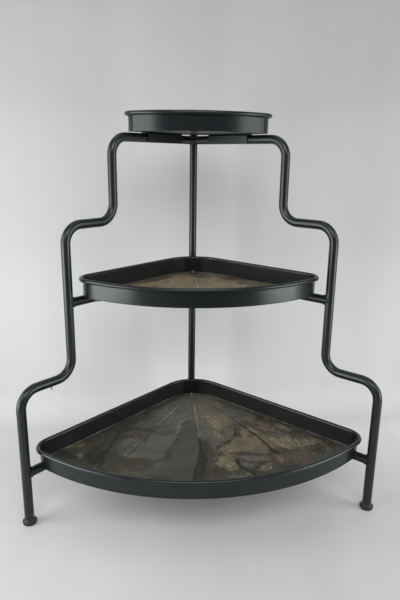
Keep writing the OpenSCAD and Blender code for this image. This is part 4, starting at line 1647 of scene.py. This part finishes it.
@dataclass
class Studio:
    """The pale floor and backdrop, the lamps and the camera, with lengths in metres."""

    wall_y: float = 0.33  # The backdrop behind the frame's origin
    wall_top: float = 3.2
    front_y: float = -3.0  # Where the floor ends towards the camera
    near_y: float = -0.85  # Where its rows are closer together
    cove: float = 0.07  # Radius of the sweep between floor and backdrop
    half_width: float = 3.5
    floor_rows: int = 20
    cove_rows: int = 12
    wall_rows: int = 40
    half_columns: int = 24
    # Painted shade: the backdrop's tone by height and the floor's by distance to the rear
    wall_tones: tuple = ((0.0, 0.73), (0.1, 0.73), (0.2, 0.7), (0.45, 0.62), (0.68, 0.575),
                         (0.86, 0.515), (1.02, 0.455), (1.3, 0.43))
    floor_tones: tuple = ((-3.0, 0.12), (-1.4, 0.225), (-0.95, 0.39), (-0.62, 0.565),
                          (-0.36, 0.675), (3.0, 0.685))
    middle: float = 0.3  # Half width of the painted change of light from left to right
    light_pool: float = 0.2  # Painted pool of light on the backdrop behind the lower tray
    light_pool_place: tuple[float, float] = (0.05, 0.16)
    light_pool_size: tuple[float, float] = (0.22, 0.13)
    top_tone: float = 0.95
    rear_drop: float = 0.001  # How far the floor behind the backdrop lies below the front one
    camera_place: Place = (-0.09296, -1.02193, 0.68318)
    camera_turn: tuple[float, float, float] = (0.09011, 0.26100, -0.01339)  # Heading, tilt, roll
    focal: float = 32.013  # For a long side of the sensor's width
    sensor: float = 36.0
    sky: Colour = (0.9, 0.93, 0.95)
    sky_strength: float = 0.16
    lamps: tuple[Lamp, ...] = (
        Lamp("left_low_lamp", (-1.5, -0.72, 0.25), (0.0, -0.72, 0.25), (1.25, 0.5), 13.6),
        Lamp("left_high_lamp", (-1.5, -0.6, 1.0), (0.0, -0.6, 1.0), (1.25, 1.0), 13.8),
        Lamp("right_low_lamp", (1.5, -0.82, 0.25), (0.0, -0.82, 0.25), (1.0, 0.5), 9.5),
        Lamp("right_high_lamp", (1.5, -0.66, 1.0), (0.0, -0.66, 1.0), (1.0, 1.0), 8.5),
        Lamp("front_lamp", (0.0, -2.2, 2.3), (0.0, 0.1, 0.3), (2.4, 1.2), 37.5),
        Lamp("top_lamp", (0.0, -0.2, 2.6), (0.0, -0.2, 0.0), (1.8, 1.0), 4.5),
    )

    def wall_tone(self, x: np.ndarray, z: np.ndarray) -> np.ndarray:
        """Tone of the backdrop: painted shade by height, painted light to one side and in a pool.

        Args:
            x: A row of positions from left to right.
            z: A column of heights.

        Returns:
            The tone at each point.
        """
        side = np.tanh(x / self.middle)
        # Painted light and shade: the tone leans from left to right, changing with height
        low = np.where(side < 0, 0.12, -0.07) * ramp(-z, -0.35, 0.0)
        lean = 0.07 * ramp(z, 0.1, 0.5) * np.exp(-z / 0.9) - low
        away = [
            ((value - at) / size) ** 2
            for value, at, size in zip((x, z), self.light_pool_place, self.light_pool_size)
        ]
        # Painted pool of light where the stand's shadow falls on the backdrop
        light_pool = self.light_pool * np.exp(-away[0] - away[1])
        return np.interp(z, *np.array(self.wall_tones).T) * (1 - lean * side + light_pool)

    def floor_tone(self, x: np.ndarray, y: np.ndarray) -> np.ndarray:
        """Floor tone before the backdrop: painted light and shade by distance and to the sides.

        Args:
            x: A row of positions from left to right.
            y: A column of distances to the rear.

        Returns:
            The tone at each point.
        """
        side = np.tanh(x / self.middle)
        tone = np.interp(y, *np.array(self.floor_tones).T)
        # Painted light: lighter to the left, and lighter towards the rear on the right
        tone = tone * (1 - 0.07 * side + 0.2 * ramp(y, -0.25, 0.2) * (0.5 + 0.85 * side))
        # Painted light: lighter from 0.5 m out to the sides, which the trays' walls reflect
        return tone * (1 + 0.35 * ramp(np.abs(x), 0.5, 0.95)) * self.edge(x)

    def edge(self, x: np.ndarray) -> np.ndarray:
        """Share of the floor's tone left far to the left and right, darkened as painted shade."""
        return 1 - 0.75 * ramp(np.abs(x), 0.95, 1.25)

    def sweep(self) -> None:
        """Makes the floor and backdrop as one sheet with a rounded sweep, and the rear floor."""
        t = np.linspace(0, math.pi / 2, self.cove_rows)
        turn = self.wall_y - self.cove
        rise = np.linspace(0.0, 1.0, self.wall_rows + 1)[1:] ** 1.5 * (self.wall_top - self.cove)
        y = np.concatenate([
            np.linspace(self.front_y, self.near_y, self.floor_rows)[:-1],
            np.linspace(self.near_y, turn, self.floor_rows)[:-1],
            turn + self.cove * np.sin(t), np.full(self.wall_rows, self.wall_y),
        ])
        z = np.concatenate([
            np.zeros(2 * (self.floor_rows - 1)), self.cove * (1 - np.cos(t)), self.cove + rise,
        ])
        half = np.linspace(0.0, 1.0, self.half_columns + 1)[1:] ** 2 * self.half_width
        x = np.concatenate([-half[::-1], [0.0], half])
        row, back = x[None, :], y[:, None]
        wall, ground = self.wall_tone(row, z[:, None]), self.floor_tone(row, back)
        tone = ground + (wall - ground) * ramp(back, turn - 0.04, turn + 0.03)
        paper = STUDIO_SHEET.build()
        self.sheet("studio_sweep", x, y, z, np.clip(tone, 0.0, self.top_tone), paper)
        y = np.linspace(turn - 0.02, -self.front_y, 24)
        tone = np.interp(-y[:, None], *np.array(self.floor_tones).T) * self.edge(row)
        self.sheet("studio_rear_floor", x, y, 0 * y - self.rear_drop, tone, paper)

    def sheet(self, name: str, x: np.ndarray, y: np.ndarray, z: np.ndarray, tone: np.ndarray,
              paper: Material) -> None:
        """Makes one sheet of the studio.

        Args:
            name: Its name.
            x: Positions of its columns, from left to right.
            y: Distance of each of its rows.
            z: Height of each of its rows.
            tone: Its tone at each point.
            paper: Its material.
        """
        points = np.stack(np.broadcast_arrays(x[None, :], y[:, None], z[:, None]), axis=-1)
        mesh = bpy.data.meshes.new(name)
        mesh.from_pydata(points.reshape(-1, 3).tolist(), [], grid_faces(len(y), len(x)).tolist())
        mesh.update()
        attribute = mesh.attributes.new("tone", "FLOAT", "POINT")
        attribute.data.foreach_set("value", tone.reshape(-1).astype(np.float32))
        mesh.polygons.foreach_set("use_smooth", np.ones(len(mesh.polygons), bool))
        mesh.materials.append(paper)
        sheet = bpy.data.objects.new(name, mesh)
        bpy.context.scene.collection.objects.link(sheet)

    def camera(self) -> None:
        """Adds the camera where the photograph was taken from."""
        yaw, tilt, roll = self.camera_turn
        ahead = np.array([math.sin(yaw) * math.cos(tilt), math.cos(yaw) * math.cos(tilt),
                          -math.sin(tilt)])
        right = np.array([math.cos(yaw), -math.sin(yaw), 0.0])
        down = np.cross(ahead, right)
        c, s = math.cos(roll), math.sin(roll)
        right, down = c * right + s * down, -s * right + c * down
        data = bpy.data.cameras.new("camera")
        data.lens, data.sensor_width, data.sensor_fit = self.focal, self.sensor, "AUTO"
        camera = bpy.data.objects.new("camera", data)
        camera.matrix_world = standing(right, -down, -ahead, self.camera_place)
        bpy.context.scene.collection.objects.link(camera)
        bpy.context.scene.camera = camera

    def build(self) -> None:
        """Makes the whole studio."""
        self.sweep()
        for lamp in self.lamps:
            lamp.build()
        world = bpy.data.worlds.new("studio_world")
        world.use_nodes = True
        inputs = world.node_tree.nodes["Background"].inputs
        inputs["Color"].default_value = (*self.sky, 1.0)
        inputs["Strength"].default_value = self.sky_strength
        bpy.context.scene.world = world
        bpy.context.scene.view_settings.view_transform = "Standard"
        self.camera()


def main() -> None:
    """Builds the stand's looks and the studio."""
    logging.basicConfig(level=logging.INFO, format="%(name)s: %(message)s")
    group = worn_group()
    tube_paint, tray_paint, floor_paint, strut_paint, rubber = (
        finish.build(group)
        for finish in (TUBE_PAINT, TRAY_PAINT, FLOOR_PAINT, STRUT_PAINT, FOOT_RUBBER)
    )
    tiers = ("lower", "middle", "top")
    dress(["left_top_bracket", "right_top_bracket"], tube_paint)
    dress(["lower_gusset", "middle_gusset"], strut_paint)
    dress([f"{tier}_tray_wall" for tier in tiers], tray_paint)
    dress([f"{tier}_tray_floor" for tier in tiers], floor_paint)
    dress([f"{tier}_rim_wire" for tier in tiers], WIRE_STEEL.build())
    dress(["post_cap"], rubber)
    plan = StandPlan()
    Tubes(plan).build(tube_paint, strut_paint)
    WeldBeads(plan).build(strut_paint)
    PaintDrip(plan).build(tube_paint)
    Feet(plan).build(rubber)
    Screws(plan).build(BRIGHT_ZINC.build(), tube_paint)
    for coat, finish in (
        (FloorCoat("lower", side=458.0, floor_z=115.0, crease_gap=98.0, seed=11, rows=205,
                   columns=460, patches=LOWER_PATCHES, strokes=LOWER_STROKES), LOWER_COAT),
        (FloorCoat("middle", side=341.0, floor_z=424.0, crease_gap=72.0, seed=23, rows=130,
                   columns=360, patches=MIDDLE_PATCHES, strokes=MIDDLE_STROKES), MIDDLE_COAT),
        (FloorCoat("top", side=216.0, floor_z=732.1, crease_gap=36.0, seed=37, rows=90,
                   columns=240, patches=TOP_PATCHES, strokes=TOP_STROKES), TOP_COAT),
    ):
        coat.build(finish.build(), plan.post_y)
    Studio().build()


if __name__ == "__main__":
    main()
